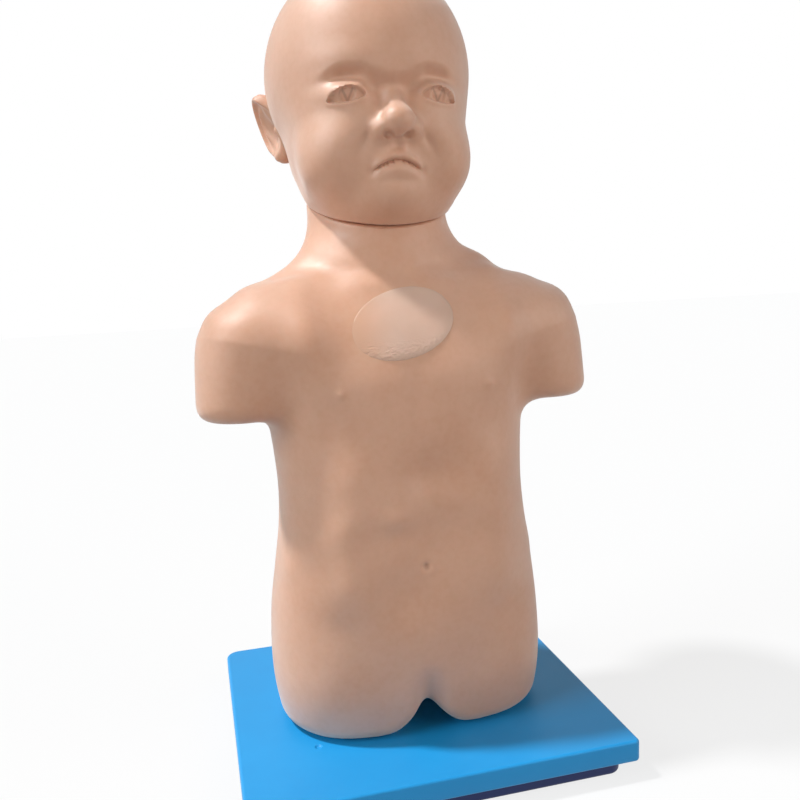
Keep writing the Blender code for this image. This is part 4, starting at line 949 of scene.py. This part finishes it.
@dataclass
class Torso:
    """The torso's skin with its window, and the thin patch on the breastbone."""

    form: TorsoForm
    window: Window
    box: tuple = ((-0.175, -0.100, -0.015), (0.175, 0.115, 0.425))
    cell: float = 0.0038
    wall: float = 0.005
    patch_place: tuple = (-0.004, 0.303)
    patch_half_width: float = 0.038
    patch_half_height: float = 0.0235
    patch_turn: float = math.radians(15.0)
    patch_thickness: float = 0.0013

    def skin(self) -> Surface:
        """The skin: a net over the form, split once and settled, with the back window cut out.

        Returns:
            The surface.
        """
        net = net_of(self.form.distance, *np.array(self.box), self.cell)
        net.points = settle(self.form.distance, net.points)
        fine = halved(net)
        points = settle(self.form.distance, fine.points)
        quads = np.asarray(fine.faces)
        share = self.window.share(points)
        inside = (share < 1) & (points[:, 1] > 0.03)
        cut = inside[quads].any(1)
        rim = np.zeros(len(points), bool)
        rim[quads[cut & ~inside[quads].all(1)].ravel()] = True
        rim &= ~inside
        middle = np.array([0.0, 0.0, self.window.centre])
        pulled = middle + (points[rim] - middle) / share[rim][:, None]
        pulled[:, 1] = points[rim][:, 1]
        points[rim] = pulled
        points[rim, 1] = self.form.depth(points[rim, 0], points[rim, 2], Facing.BACK)
        quads = quads[~cut]
        pairs = stacked(quads, np.roll(quads, -1, axis=1)).reshape(-1, 2)
        _, where, count = np.unique(np.sort(pairs, axis=1), axis=0, return_inverse=True, return_counts=True)
        edge = pairs[count[where.ravel()] == 1]
        used = np.unique(edge)
        number = np.zeros(len(points), int)
        number[used] = len(points) + np.arange(len(used))
        inner = points[used] - (0, self.wall, 0)
        walls = stacked(edge[:, 1], edge[:, 0], number[edge[:, 0]], number[edge[:, 1]])
        points = np.concatenate([points, inner]) + (0, 0, LIFT)
        return Surface(points, np.concatenate([quads, walls]).tolist())

    def patch(self) -> Surface:
        """The patch: an oval sheet over the skin, thin, with a rolled edge and small wrinkles low down.

        At a share r of the oval its height over the skin is t (1 - r^18). It thins towards its
        upper edge on the viewer's left, and wrinkles run round its lower edge.

        Returns:
            The closed surface.
        """
        shares = np.concatenate([[0.03], np.linspace(0.1, 0.93, 26), [0.955, 0.975, 0.99, 1.0]])
        angle = full_turn(160)
        across = self.patch_half_width * np.cos(angle)
        up = self.patch_half_height * np.sin(angle)
        turn = self.patch_turn
        x = self.patch_place[0] + np.outer(shares, across * math.cos(turn) - up * math.sin(turn))
        z = self.patch_place[1] + np.outer(shares, across * math.sin(turn) + up * math.cos(turn))
        low = step(-np.sin(angle)[None, :] * shares[:, None], 0.35, 0.95)
        ripple = np.outer(np.sin(shares * 46) * hill((shares - 0.82) / 0.15), np.sin(angle * 34))
        fading = 1 - step(np.cos(angle) - np.sin(angle), -0.8, 0.6)[None, :]
        proud = 1 - 0.7 * fading * step(shares[:, None], 0.45, 0.95)
        height = self.patch_thickness * proud * (1 - shares[:, None] ** 18) + 0.00035 * low * ripple
        skin = self.form.depth(x, z, Facing.FRONT)
        front = stacked(x, skin - height, z + LIFT)
        behind = stacked(x, skin + GAP, z + LIFT)[::-1]
        return Surface.loft(np.concatenate([front, behind[:1], behind[-1:]])[:, ::-1])

    def build(self, finishes: Finishes) -> None:
        """Make both pieces."""
        make_piece("torso_skin", self.skin(), finishes, "skin", "torso", "torso_shell", 50.0)
        make_piece("breastbone_patch", self.patch(), finishes, "soft_skin", "torso", "chest_patch", 60.0)


@dataclass
class HeadForm:
    """The head's skin: skull, face, jaw and cheeks blended, with the face's small forms in relief."""

    skull: tuple = ((0.0, 0.047, 0.486), (0.0785, 0.092, 0.085))
    face: tuple = ((0.0, 0.005, 0.437), (0.0590, 0.048, 0.060))
    lower: tuple = ((0.0, 0.039, 0.422), (0.0615, 0.060, 0.048))
    jaw: tuple = ((0.0, -0.013, 0.399), (0.030, 0.032, 0.026))
    cheek: tuple = ((0.0345, -0.005, 0.418), (0.0275, 0.028, 0.028))
    skirt_radius: float = 0.057
    skirt_height: float = 0.020
    joint_gap: float = 0.0008
    eye: tuple = (0.0326, 0.4567)
    eye_half_width: float = 0.0132
    lid_rise: float = 0.0076
    lid_fall: float = 0.0026
    nose_tip: tuple = ((0.0, -0.0490, 0.4404), (0.0114, 0.0104, 0.0092))
    nose_top: tuple = (0.0, -0.0350, 0.4590)
    nose_wing: tuple = ((0.0110, -0.0420, 0.4362), (0.0072, 0.0090, 0.0074))
    nostril: tuple = ((0.0070, -0.0490, 0.4308), (0.0036, 0.0054, 0.0027))
    mouth_height: float = 0.4147
    mouth_half_width: float = 0.0182
    mouth_droop: float = 0.0076
    face_forms: tuple = (
        Mound(-0.0040, 0.0130, 0.0080, 0.4650, 0.0090),  # inner end of each eye
        Mound(0.0012, 0.0360, 0.0200, 0.4860, 0.0090),  # brow
        Ridge(-0.0080, 0.0, 0.0150, (0.4595, 0.4745), (0.4440, 0.4560)),  # dip between the brows
        Mound(-0.0011, 0.0, 0.0028, 0.4245, 0.0038),  # groove over the lip and its two edges
        Mound(0.0007, 0.0052, 0.0020, 0.4245, 0.0045),
        Mound(-0.0012, 0.0, 0.0150, 0.4005, 0.0040),  # hollow under the lip
        Mound(0.0014, 0.0, 0.0170, 0.3880, 0.0090),  # chin
        Mound(0.0030, 0.0440, 0.0190, 0.4060, 0.0220),  # jowl
        Mound(0.0038, 0.0380, 0.0200, 0.4320, 0.0170),  # cheek
    )

    def core(self, p: Array) -> Array:
        """Distance to skull, face, jaw and cheeks, blended, with the neck skirt below them."""
        level = joint_level(p)
        rest = [(ellipsoid(p, *self.face), 0.024), (ellipsoid(p, *self.lower), 0.018),
                (ellipsoid(p, *self.jaw), 0.016), (ellipsoid(both_sides(p), *self.cheek), 0.014)]
        distance = smooth_max(joined(ellipsoid(p, *self.skull), *rest), -level, 0.016)
        drawn_in = 0.0022 * step(0.0090 - level, 0.0, 0.0100)
        skirt = np.hypot(p[..., 0], joint_across(p)) - self.skirt_radius + drawn_in
        return smooth_min(distance, smooth_max(skirt, level - self.skirt_height, 0.010), 0.010)

    def nose(self, p: Array) -> Array:
        """Distance to the nose: a low bridge, a round tip and two wings."""
        bridge = round_cone(p, self.nose_top, self.nose_tip[0], 0.0070, 0.0085)
        wing = ellipsoid(both_sides(p), *self.nose_wing)
        return joined(bridge, (ellipsoid(p, *self.nose_tip), 0.0050), (wing, 0.0040))

    def eyes(self, x: Array, z: Array) -> Array:
        """How far sockets, lids and eyes stand out, over distances across and heights.

        An eye's opening lies between two lid lines, which are powers of an arch 1 - a squared
        over the share a of the eye's half width.
        """
        across = x - self.eye[0]
        along = across / self.eye_half_width
        up = z - self.eye[1] + EYE_DROOP * across
        brow_edge = 0.4780 - 0.0060 * step(x, 0.034, 0.054) - 0.0055 * step(-x, -0.024, -0.006)
        under_brow = step(brow_edge - z, -0.0030, 0.0070)
        socket = -0.0068 * under_brow * hill((x - 0.0300) / 0.0145, np.maximum(0.4715 - z, 0) / 0.0095)
        ball = 0.0056 * hill((across - 0.001) / 0.0130, (up - 0.0065) / 0.0070)
        arch = np.clip(1 - along**2, 0, 1)
        upper = up - self.lid_rise * arch**0.75
        lower = up + self.lid_fall * arch**0.85
        ends = step(1.12 - np.abs(along), 0.0, 0.16)
        opening = step(-upper, -0.0002, 0.0009) * step(lower, -0.0002, 0.0007)
        opening = opening * step(1.0 - np.abs(along), 0.0, 0.10)
        lids = 0.0009 * hill((upper - 0.0024) / 0.0028) + 0.0004 * hill((lower + 0.0016) / 0.0016)
        disc = np.hypot(across + 0.0005, (up - IRIS_RISE) * 0.95)
        iris = -0.0011 * step(IRIS_RADIUS - disc, 0.0, 0.0008)
        return socket + ball + lids * ends + (iris - 0.0026) * opening

    def mouth(self, x: Array, z: Array) -> Array:
        """How far lips and folds stand out, over distances across and heights.

        The line between the lips is a parabola that falls to the mouth's ends.
        """
        off = z - self.mouth_height + self.mouth_droop * (x / self.mouth_half_width) ** 2
        wide = step(self.mouth_half_width + 0.0010 - x, 0.0, 0.0060)
        bow = 0.0010 * step(0.0075 - np.abs(x - 0.0045), 0.0, 0.0060)
        upper = 0.0015 * hill((off - 0.0030 - bow) / 0.0028) * wide
        lower = 0.0015 * hill((off + 0.0058) / 0.0040, x / 0.0110)
        line = -0.0030 * hill(off / 0.0011) * step(self.mouth_half_width - x, -0.0010, 0.0050)
        end_height = self.mouth_height - self.mouth_droop
        corner = -0.0012 * hill((x - self.mouth_half_width) / 0.0030, (z - end_height) / 0.0034)
        fold = -0.0014 * hill((x - 0.0185 - 0.55 * (0.4350 - z)) / 0.0035, (z - 0.4300) / 0.0090)
        return upper + lower + line + corner + fold

    def relief(self, p: Array) -> Array:
        """How far the face's small forms stand out."""
        x, z = np.abs(p[..., 0]), p[..., 2]
        height = self.eyes(x, z) + self.mouth(x, z) + raised(p, self.face_forms)
        return step(-p[..., 1], -0.010, 0.015) * height

    def distance(self, p: Array) -> Array:
        """Distance to the finished head without its ears."""
        distance = smooth_min(self.core(p) - self.relief(p), self.nose(p), 0.0060)
        distance = smooth_max(distance, -ellipsoid(both_sides(p), *self.nostril), 0.0016)
        return smooth_max(distance, self.joint_gap - joint_level(p), 0.0022)


@dataclass
class Ear:
    """One outer ear: a tilted oval bowl with a rolled rim, a hollow shell and a soft lobe."""

    centre: tuple = (-0.0758, 0.0620, 0.4530)
    half_height: float = 0.0270
    half_width: float = 0.0140
    flare: float = math.radians(5.0)
    lean: float = math.radians(8.0)

    def surface(self) -> Surface:
        """The ear on the viewer's left.

        A point at share r and angle a of an oval stands off its plane by a rolled rim near
        r = 0.84, less a hollow in the middle, plus an inner ridge. Past the rim it turns back
        towards the head.

        Returns:
            The surface.
        """
        within = np.linspace(0.02, 0.93, 40)
        r = np.array([*within, 0.965, 0.99, 1.0, 0.995, 0.97, 0.93, 0.88])[:, None]
        turned_back = (0.0004, 0.0014, 0.0030, 0.0055, 0.0090, 0.0130, 0.0180)
        drop = np.array([*np.zeros(len(within)), *turned_back])[:, None]
        angle = full_turn(96)[None, :]
        back, up = np.cos(angle), np.sin(angle)
        widen = 1 + 0.16 * up - 0.10 * step(-up, 0.4, 1.0)
        rolled = step(-(-back * 0.8 - up * 0.6), -0.35, 0.25)
        rim = 0.0042 * hill((r - 0.84) / 0.10) * (0.25 + 0.75 * rolled)
        ridge = 0.0022 * hill((r - 0.52) / 0.12) * step(back, -0.2, 0.5) * step(up, -0.9, -0.2)
        bowl = -0.0060 * hill(np.hypot(r * back + 0.18, r * up + 0.10) / 0.42)
        tragus = 0.0030 * hill((r * back + 0.62) / 0.16, (r * up + 0.12) / 0.16)
        lobe = 0.0020 * hill((r * back) / 0.4, (r * up + 0.80) / 0.22)
        sunk = -0.0055 * step(-r * back, 0.20, 0.95)
        off = (rim + ridge + bowl + tragus + lobe) * (r < 0.96) + 0.0012 - drop + sunk
        across = self.half_width * widen * r * back
        height = self.half_height * r * up
        behind = np.array([-math.sin(self.flare), math.cos(self.flare), 0.0])
        normal = np.array([-math.cos(self.flare), -math.sin(self.flare), 0.0])
        rise = np.array([-0.28, math.sin(self.lean), math.cos(self.lean)])
        points = across[..., None] * behind + height[..., None] * rise + off[..., None] * normal
        return Surface.loft(points + np.array(self.centre) + (0, 0, LIFT))


@dataclass
class Head:
    """The turning head: its skin worked out as a function of two angles, and its two ears."""

    form: HeadForm
    ear: Ear
    centre: tuple = (0.0, 0.040, 0.452)
    crown: tuple = (0.0, 0.25, 0.97)
    rows: int = 214
    columns: int = 420
    crowding: float = 0.50
    gathering: float = 0.80
    first_share: float = 0.004
    outside: float = 0.150
    rounds: int = 46
    stride: float = 0.85
    rim_radius: float = 0.0500
    seat_radius: float = 0.0490
    seat_depth: float = 0.0080

    def skin(self) -> Surface:
        """The skin as a loft from the crown to the neck.

        Each column turns by an angle round the neck and each row moves a share of the way from
        the crown to the skirt's edge. Along that direction from the head's middle, the radius is
        found where the form's distance is 0, by stepping in from outside.

        Returns:
            The surface.
        """
        axis = np.array([0, -math.sin(JOINT_TILT), math.cos(JOINT_TILT)])
        rear = np.array([0, math.cos(JOINT_TILT), math.sin(JOINT_TILT)])
        even = full_turn(self.columns)
        turn = even + self.crowding * np.sin(even)
        ring = np.cos(turn)[:, None] * rear + np.sin(turn)[:, None] * (1, 0, 0)
        joint = np.array([0, NECK_Y, JOINT_HEIGHT]) + axis * self.form.joint_gap
        centre = np.array(self.centre)
        to_edge = joint + self.form.skirt_radius * ring - centre
        to_edge /= np.linalg.norm(to_edge, axis=-1, keepdims=True)
        crown = np.array(self.crown) / np.linalg.norm(self.crown)
        span = np.arccos(to_edge @ crown)[None, :, None]
        share = (np.linspace(0.0, 1.0, self.rows) ** self.gathering)[:, None, None]
        share = self.first_share + (1 - self.first_share) * share
        way = (np.sin((1 - share) * span) * crown + np.sin(share * span) * to_edge) / np.sin(span)
        radius = np.full(way.shape[:2], self.outside)
        for _ in range(self.rounds):
            radius = radius - self.stride * self.form.distance(centre + radius[..., None] * way)
        outer = centre + radius[..., None] * way
        rim = joint + self.rim_radius * ring
        seat = joint + self.seat_radius * ring
        inside = [rim, seat, seat + axis * self.seat_depth]
        return Surface.loft(np.concatenate([outer, np.array(inside)])[:, ::-1] + (0, 0, LIFT))

    def build(self, finishes: Finishes) -> None:
        """Make the head as one moulded piece."""
        ear = self.ear.surface()
        whole = Surface.together([self.skin(), ear, ear.mirrored()])
        make_piece("head_skin", whole, finishes, "skin", "head", "head_shell", 70.0)


@dataclass
class Fastener:
    """A pan-head screw with a cross recess."""

    radius: float = 0.0020
    head_radius: float = 0.0036
    head_height: float = 0.0022
    slot_half_width: float = 0.00042
    slot_reach: float = 0.0019
    slot_depth: float = 0.0011

    def surface(self, length: float) -> Surface:
        """The screw with its seat at 0 and its shank down -Z.

        At a share r of the head's radius the height is a dome h (1 - 0.35 r^2.6), less the cross's
        depth wherever a point is nearer to one of its arms than half their width.

        Args:
            length: The shank's length.

        Returns:
            The closed surface.
        """
        shares = np.concatenate([np.linspace(0.03, 0.62, 16), np.linspace(0.68, 1.0, 7)])
        angle = full_turn(48)
        r = self.head_radius * shares[:, None]
        x, y = r * np.cos(angle), r * np.sin(angle)
        dome = self.head_height * (1 - 0.35 * shares[:, None] ** 2.6) * np.ones_like(x)
        arm = np.minimum(np.abs(x), np.abs(y))
        cross = step(self.slot_half_width - arm, -0.00012, 0.00012)
        cross = cross * step(self.slot_reach - np.hypot(x, y), -0.0001, 0.0001)
        top = stacked(x, y, dome - self.slot_depth * cross)
        below = [(self.head_radius, 0.0), (self.radius, 0.0), (self.radius, -length + self.radius),
                 (self.radius * 0.3, -length)]
        c, s = np.cos(angle), np.sin(angle)
        rings = [stacked(q * c, q * s, np.full(len(angle), h)) for q, h in below]
        return Surface.loft(np.concatenate([top, np.array(rings)])[:, ::-1])


@dataclass
class BackCover:
    """The cover in the back window, its screws, and the filler port with its cap."""

    form: TorsoForm
    window: Window
    thickness: float = 0.0055
    sink: float = 0.0002
    screw_length: float = 0.012
    port_place: tuple = (0.030, 0.176)
    barrel: float = 0.0048
    bore: float = 0.0022
    flange: float = 0.0080
    port_depth: float = 0.020

    def cover(self) -> Surface:
        """The cover: a sheet just under the skin's surface with a rounded edge.

        At a share r of the outline it sinks by s + 0.0012 r^24 below the skin, and its inner face
        lies a thickness further in.

        Returns:
            The closed surface.
        """
        shares = np.concatenate([[0.02], np.linspace(0.08, 0.94, 22), [0.965, 0.985, 1.0]])
        x0, z0 = self.window.outline(160)
        x, z = np.outer(shares, x0), self.window.centre + np.outer(shares, z0)
        skin = self.form.depth(x, z, Facing.BACK)
        outer = skin - self.sink - 0.0012 * shares[:, None] ** 24
        inner = skin - self.sink - self.thickness
        front = stacked(x, outer, z + LIFT)
        behind = stacked(x, inner, z + LIFT)[::-1]
        return Surface.loft(np.concatenate([front, behind[:1], behind[-1:]]))

    def build(self, finishes: Finishes) -> None:
        """Make the cover, its four screws, the port and the cap."""
        make_piece("back_cover_skin", self.cover(), finishes, "skin", "torso", "back_cover", 60.0)
        screw = Fastener().surface(self.screw_length)
        for k, (x, z) in enumerate(self.window.corners()):
            spot, outwards = self.form.spot(x, z, Facing.BACK)
            placed = screw.placed(spot + outwards * GAP, outwards)
            make_piece(f"cover_screw_dressed_{k + 1}", placed, finishes, "steel", "torso",
                       f"cover_screw_{k + 1}")
        spot, outwards = self.form.spot(*self.port_place, Facing.BACK)
        place = spot + outwards * GAP
        barrel, flange, bore = self.barrel, self.flange, self.bore
        port = turned([(barrel * 0.6, -self.port_depth), (barrel, -self.port_depth), (barrel, 0.0),
                       (flange, 0.0), *arc((flange - 0.0006, 0.0014), 0.0006, 0, 90),
                       (barrel + 0.0003, 0.0020), (barrel, 0.0024), (barrel, 0.0060), (bore, 0.0060)])
        make_piece("filler_port_dressed", port.placed(place, outwards), finishes, "white_plastic", "torso",
                   "filler_port")
        cap = turned([(bore - GAP, 0.0013), (bore - GAP, 0.0063), (0.0066, 0.0063), (0.0070, 0.0067),
                      (0.0070, 0.0112), *arc((0.0060, 0.0113), 0.0010, 0, 90), (0.0030, 0.0123)],
                     sides=144, ribs=0.0003, count=24)
        make_piece("filler_cap_dressed", cap.placed(place, outwards), finishes, "blue_plastic", "torso",
                   "filler_cap")


@dataclass
class Base:
    """The two-part base: a light blue top with soft edges over an inset navy tray."""

    half_width: float = 0.140
    half_depth: float = 0.1235
    top: float = 0.029
    split: float = 0.013
    wall: float = 0.003
    corner: float = 0.011
    front_corner: float = 0.004
    edge: float = 0.0021
    tray_inset: float = 0.009
    tray_corner: float = 0.010
    tray_edge: float = 0.003
    dimple: tuple = (-0.0826, -0.0578)
    dimple_radius: float = 0.0028
    dimple_depth: float = 0.0012
    dimple_profile: tuple = ((0.10, 1.0), (0.40, 0.94), (0.68, 0.74), (0.86, 0.40), (0.96, 0.12), (1.02, 0.0),
                             (1.20, 0.0), (1.60, 0.0))
    rib_pitch: float = 0.052
    rib_half: float = 0.00125
    rib_corner: float = 0.0006
    rib_bite: float = 0.0003
    screw_inset: float = 0.030
    screw_length: float = 0.020
    screw_sink: float = 0.0025

    def top_shell(self) -> Surface:
        """The upper moulding: its outline carried along a profile that rounds the rim and turns inside.

        The top face starts from rings round the dimple, which sink from 1.0 of its depth to 0.

        Returns:
            The closed surface.
        """
        low = self.split + GAP
        top, wall, edge = self.top, self.wall, self.edge
        hollow = []
        for share, sunk in self.dimple_profile:
            radius = share * self.dimple_radius
            circle = rounded_rectangle(radius, radius, radius, radius) + self.dimple
            hollow.append(np.column_stack([circle, np.full(len(circle), top - sunk * self.dimple_depth)]))
        profile = [(0.012, top), (edge + 0.001, top), *arc((edge, top - edge), edge, 90, 180, 8),
                   (0.0, low + 0.0016), (0.0004, low + 0.0005), (0.0009, low), (wall, low),
                   (wall + 0.0001, top - wall), (self.half_depth - 0.004, top - wall)]
        return rim_loft(self.half_width, self.half_depth, self.corner, profile,
                        front_corner=self.front_corner, first=hollow)

    def ribs(self) -> list[Surface]:
        """The stiffening ribs under the top, each a thin slab with softened ends.

        Returns:
            One surface for each rib.
        """
        low, high = self.split + 2 * GAP, self.top - self.wall + 0.0005
        inner_w, inner_d = self.half_width - self.wall, self.half_depth - self.wall
        across, along = int(inner_w // self.rib_pitch), int(inner_d // self.rib_pitch)
        profile = [(0.0002, low), (0.0, low + 0.0002), (0.0, high)]
        thin, corner, bite = self.rib_half, self.rib_corner, self.rib_bite
        ribs = [rim_loft(thin, inner_d + bite, corner, profile, (k * self.rib_pitch, 0.0))
                for k in range(-across, across + 1)]
        ribs += [rim_loft(inner_w + bite, thin, corner, profile, (0.0, k * self.rib_pitch))
                 for k in range(-along, along + 1)]
        return ribs

    def tray(self) -> Surface:
        """The lower moulding: a shallow tray whose outline is carried round its bottom edge and inside.

        Returns:
            The closed surface.
        """
        edge, wall, split = self.tray_edge, self.wall, self.split
        profile = [(0.100, 0.0), (edge + 0.002, 0.0), *arc((edge, edge), edge, 180, 270, 9)[::-1],
                   (0.0, split - 0.0005), (0.0005, split), (wall, split), (wall, wall * 2), (wall * 2, wall),
                   (0.100, wall)]
        return rim_loft(self.half_width - self.tray_inset, self.half_depth - self.tray_inset,
                        self.tray_corner, profile)

    def build(self, finishes: Finishes) -> None:
        """Make the top, the tray and their four screws."""
        make_piece("base_top_dressed", Surface.together([self.top_shell(), *self.ribs()]), finishes,
                   "light_blue", "torso", "base_top")
        make_piece("base_tray_dressed", self.tray(), finishes, "navy", "torso", "base_bottom")
        screw = Fastener().surface(self.screw_length)
        x, y = self.half_width - self.screw_inset, self.half_depth - self.screw_inset
        for k, (i, j) in enumerate([(-1, -1), (-1, 1), (1, -1), (1, 1)]):
            placed = screw.placed(Vector((i * x, j * y, self.screw_sink)), Vector((0, 0, -1)))
            make_piece(f"base_screw_dressed_{k + 1}", placed, finishes, "steel", "torso",
                       f"base_screw_{k + 1}")


@dataclass
class Stage:
    """The floor, the lamps, the world and the camera."""

    camera_place: tuple = (-0.148965, -0.620554, 0.368942)
    yaw: float = math.radians(13.87)
    pitch: float = math.radians(8.859)
    roll: float = math.radians(2.579)
    lens: float = 37.614
    key: float = 2.9
    key_height: float = math.radians(60.0)
    key_turn: float = math.radians(-3.0)
    soft_turn: float = math.radians(64.0)
    fill: float = 0.05
    fill_colour: Colour = (1.0, 0.93, 0.87)
    floor_pale: Colour = (0.80, 0.80, 0.80)
    floor_dim: Colour = (0.35, 0.35, 0.35)
    glow: float = 0.80
    floor_reach: float = 6.0
    lamp_distance: float = 2.0

    def ways(self) -> tuple[Vector, Vector]:
        """The level directions in which the camera looks and its right side points."""
        return (Vector((math.sin(self.yaw), math.cos(self.yaw), 0)),
                Vector((math.cos(self.yaw), -math.sin(self.yaw), 0)))

    def camera(self) -> None:
        """Place the camera: turned by its yaw, tipped down by its pitch, and rolled."""
        level, right = self.ways()
        ahead = level * math.cos(self.pitch) - Vector((0, 0, math.sin(self.pitch)))
        down = ahead.cross(right)
        across = right * math.cos(self.roll) + down * math.sin(self.roll)
        below = down * math.cos(self.roll) - right * math.sin(self.roll)
        data = bpy.data.cameras.new("camera")
        data.lens = self.lens
        data.sensor_width = 36.0
        data.clip_start = 0.01
        camera = bpy.data.objects.new("camera", data)
        turn = Matrix((across, -below, -ahead)).transposed().to_4x4()
        camera.matrix_world = Matrix.Translation(self.camera_place) @ turn
        bpy.context.scene.collection.objects.link(camera)
        bpy.context.scene.camera = camera

    def lamp(self, name: str, towards: Vector, strength: float, spread: float, colour: Colour) -> None:
        """Add a lamp as far away as the sun.

        Args:
            name: The lamp's name.
            towards: The way from the object to the lamp.
            strength: Its strength.
            spread: How wide it looks, in degrees.
            colour: Its colour.
        """
        data = bpy.data.lights.new(name, "SUN")
        data.energy = strength
        data.angle = math.radians(spread)
        data.color = colour
        lamp = bpy.data.objects.new(name, data)
        lamp.rotation_euler = towards.to_track_quat("Z", "Y").to_euler()
        lamp.location = towards.normalized() * self.lamp_distance
        bpy.context.scene.collection.objects.link(lamp)

    def shown_share(self, graph: Graph) -> Expression:
        """1 for rays from the camera, from gloss and through glass, else 0."""
        path = graph.node("ShaderNodeLightPath")
        kinds = ("Camera", "Glossy", "Transmission")
        camera, glossy, through = (Expression(graph, path.outputs[f"Is {kind} Ray"]) for kind in kinds)
        return camera.math("MAXIMUM", camera, glossy.math("MAXIMUM", glossy, through))

    def floor(self) -> None:
        """A pale floor that shows white and keeps a light shadow under the object."""
        graph = Graph(bpy.data.materials.new("pale_floor"), "ShaderNodeOutputMaterial")
        share = self.shown_share(graph)
        white = graph.node("ShaderNodeEmission", None, {"Color": (1.0, 1.0, 1.0), "Strength": 1.0}).outputs[0]
        pale = graph.node("ShaderNodeBsdfDiffuse", None, {"Color": self.floor_pale})
        dim = graph.node("ShaderNodeBsdfDiffuse", None, {"Color": self.floor_dim})
        seen = graph.node("ShaderNodeMixShader", None, {0: self.glow, 1: pale.outputs[0], 2: white})
        mixed = graph.node("ShaderNodeMixShader", None, {0: share, 1: dim.outputs[0], 2: seen.outputs[0]})
        graph.close(mixed)
        mesh = bpy.data.meshes.new("floor")
        reach = self.floor_reach
        corners = [(i * reach, j * reach, 0) for i, j in ((-1, -1), (1, -1), (1, 1), (-1, 1))]
        mesh.from_pydata(corners, [], [(0, 1, 2, 3)])
        mesh.materials.append(graph.owner)
        floor = bpy.data.objects.new("floor", mesh)
        bpy.context.scene.collection.objects.link(floor)

    def world(self) -> None:
        """A plain world that lights softly and shows white."""
        graph = Graph(bpy.data.worlds.new("studio"), "ShaderNodeOutputWorld")
        bpy.context.scene.world = graph.owner
        share = self.shown_share(graph)
        light = graph.node("ShaderNodeBackground", None, {"Color": self.fill_colour, "Strength": self.fill})
        white = graph.node("ShaderNodeBackground", None, {"Color": (1.0, 1.0, 1.0), "Strength": 1.0})
        mixed = graph.node("ShaderNodeMixShader", None, {0: share, 1: light.outputs[0], 2: white.outputs[0]})
        graph.close(mixed)

    def build(self) -> None:
        """Set the view, then make the camera, the lamps, the world and the floor."""
        bpy.context.scene.view_settings.view_transform = "Standard"
        self.camera()
        ahead, right = self.ways()
        level = -right * math.cos(self.key_turn) - ahead * math.sin(self.key_turn)
        above = level * math.cos(self.key_height) + Vector((0, 0, math.sin(self.key_height)))
        self.lamp("key", above, self.key, 5.0, (0.98, 0.99, 1.0))
        side = right * 0.90 - ahead * 0.32 + Vector((0, 0, 0.30))
        self.lamp("side_fill", side, 1.10, 50.0, (1.0, 0.93, 0.86))
        soft = -right * math.sin(self.soft_turn) - ahead * math.cos(self.soft_turn) + Vector((0, 0, 0.50))
        self.lamp("soft_side", soft, 1.45, 30.0, (0.88, 0.96, 1.0))
        self.lamp("low_front", Vector((0, 0, 0.10)) - ahead, 0.50, 50.0, (1.0, 0.98, 0.96))
        self.world()
        self.floor()


def main() -> None:
    """Build the trainer piece by piece, then its stage."""
    logging.basicConfig(level=logging.INFO, format="%(name)s: %(message)s")
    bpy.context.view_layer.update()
    finishes = Finishes()
    form, window = TorsoForm(), Window()
    Stage().build()
    Base().build(finishes)
    Torso(form, window).build(finishes)
    BackCover(form, window).build(finishes)
    Head(HeadForm(), Ear()).build(finishes)
    finishes.dress_nodes()


if __name__ == "__main__":
    main()
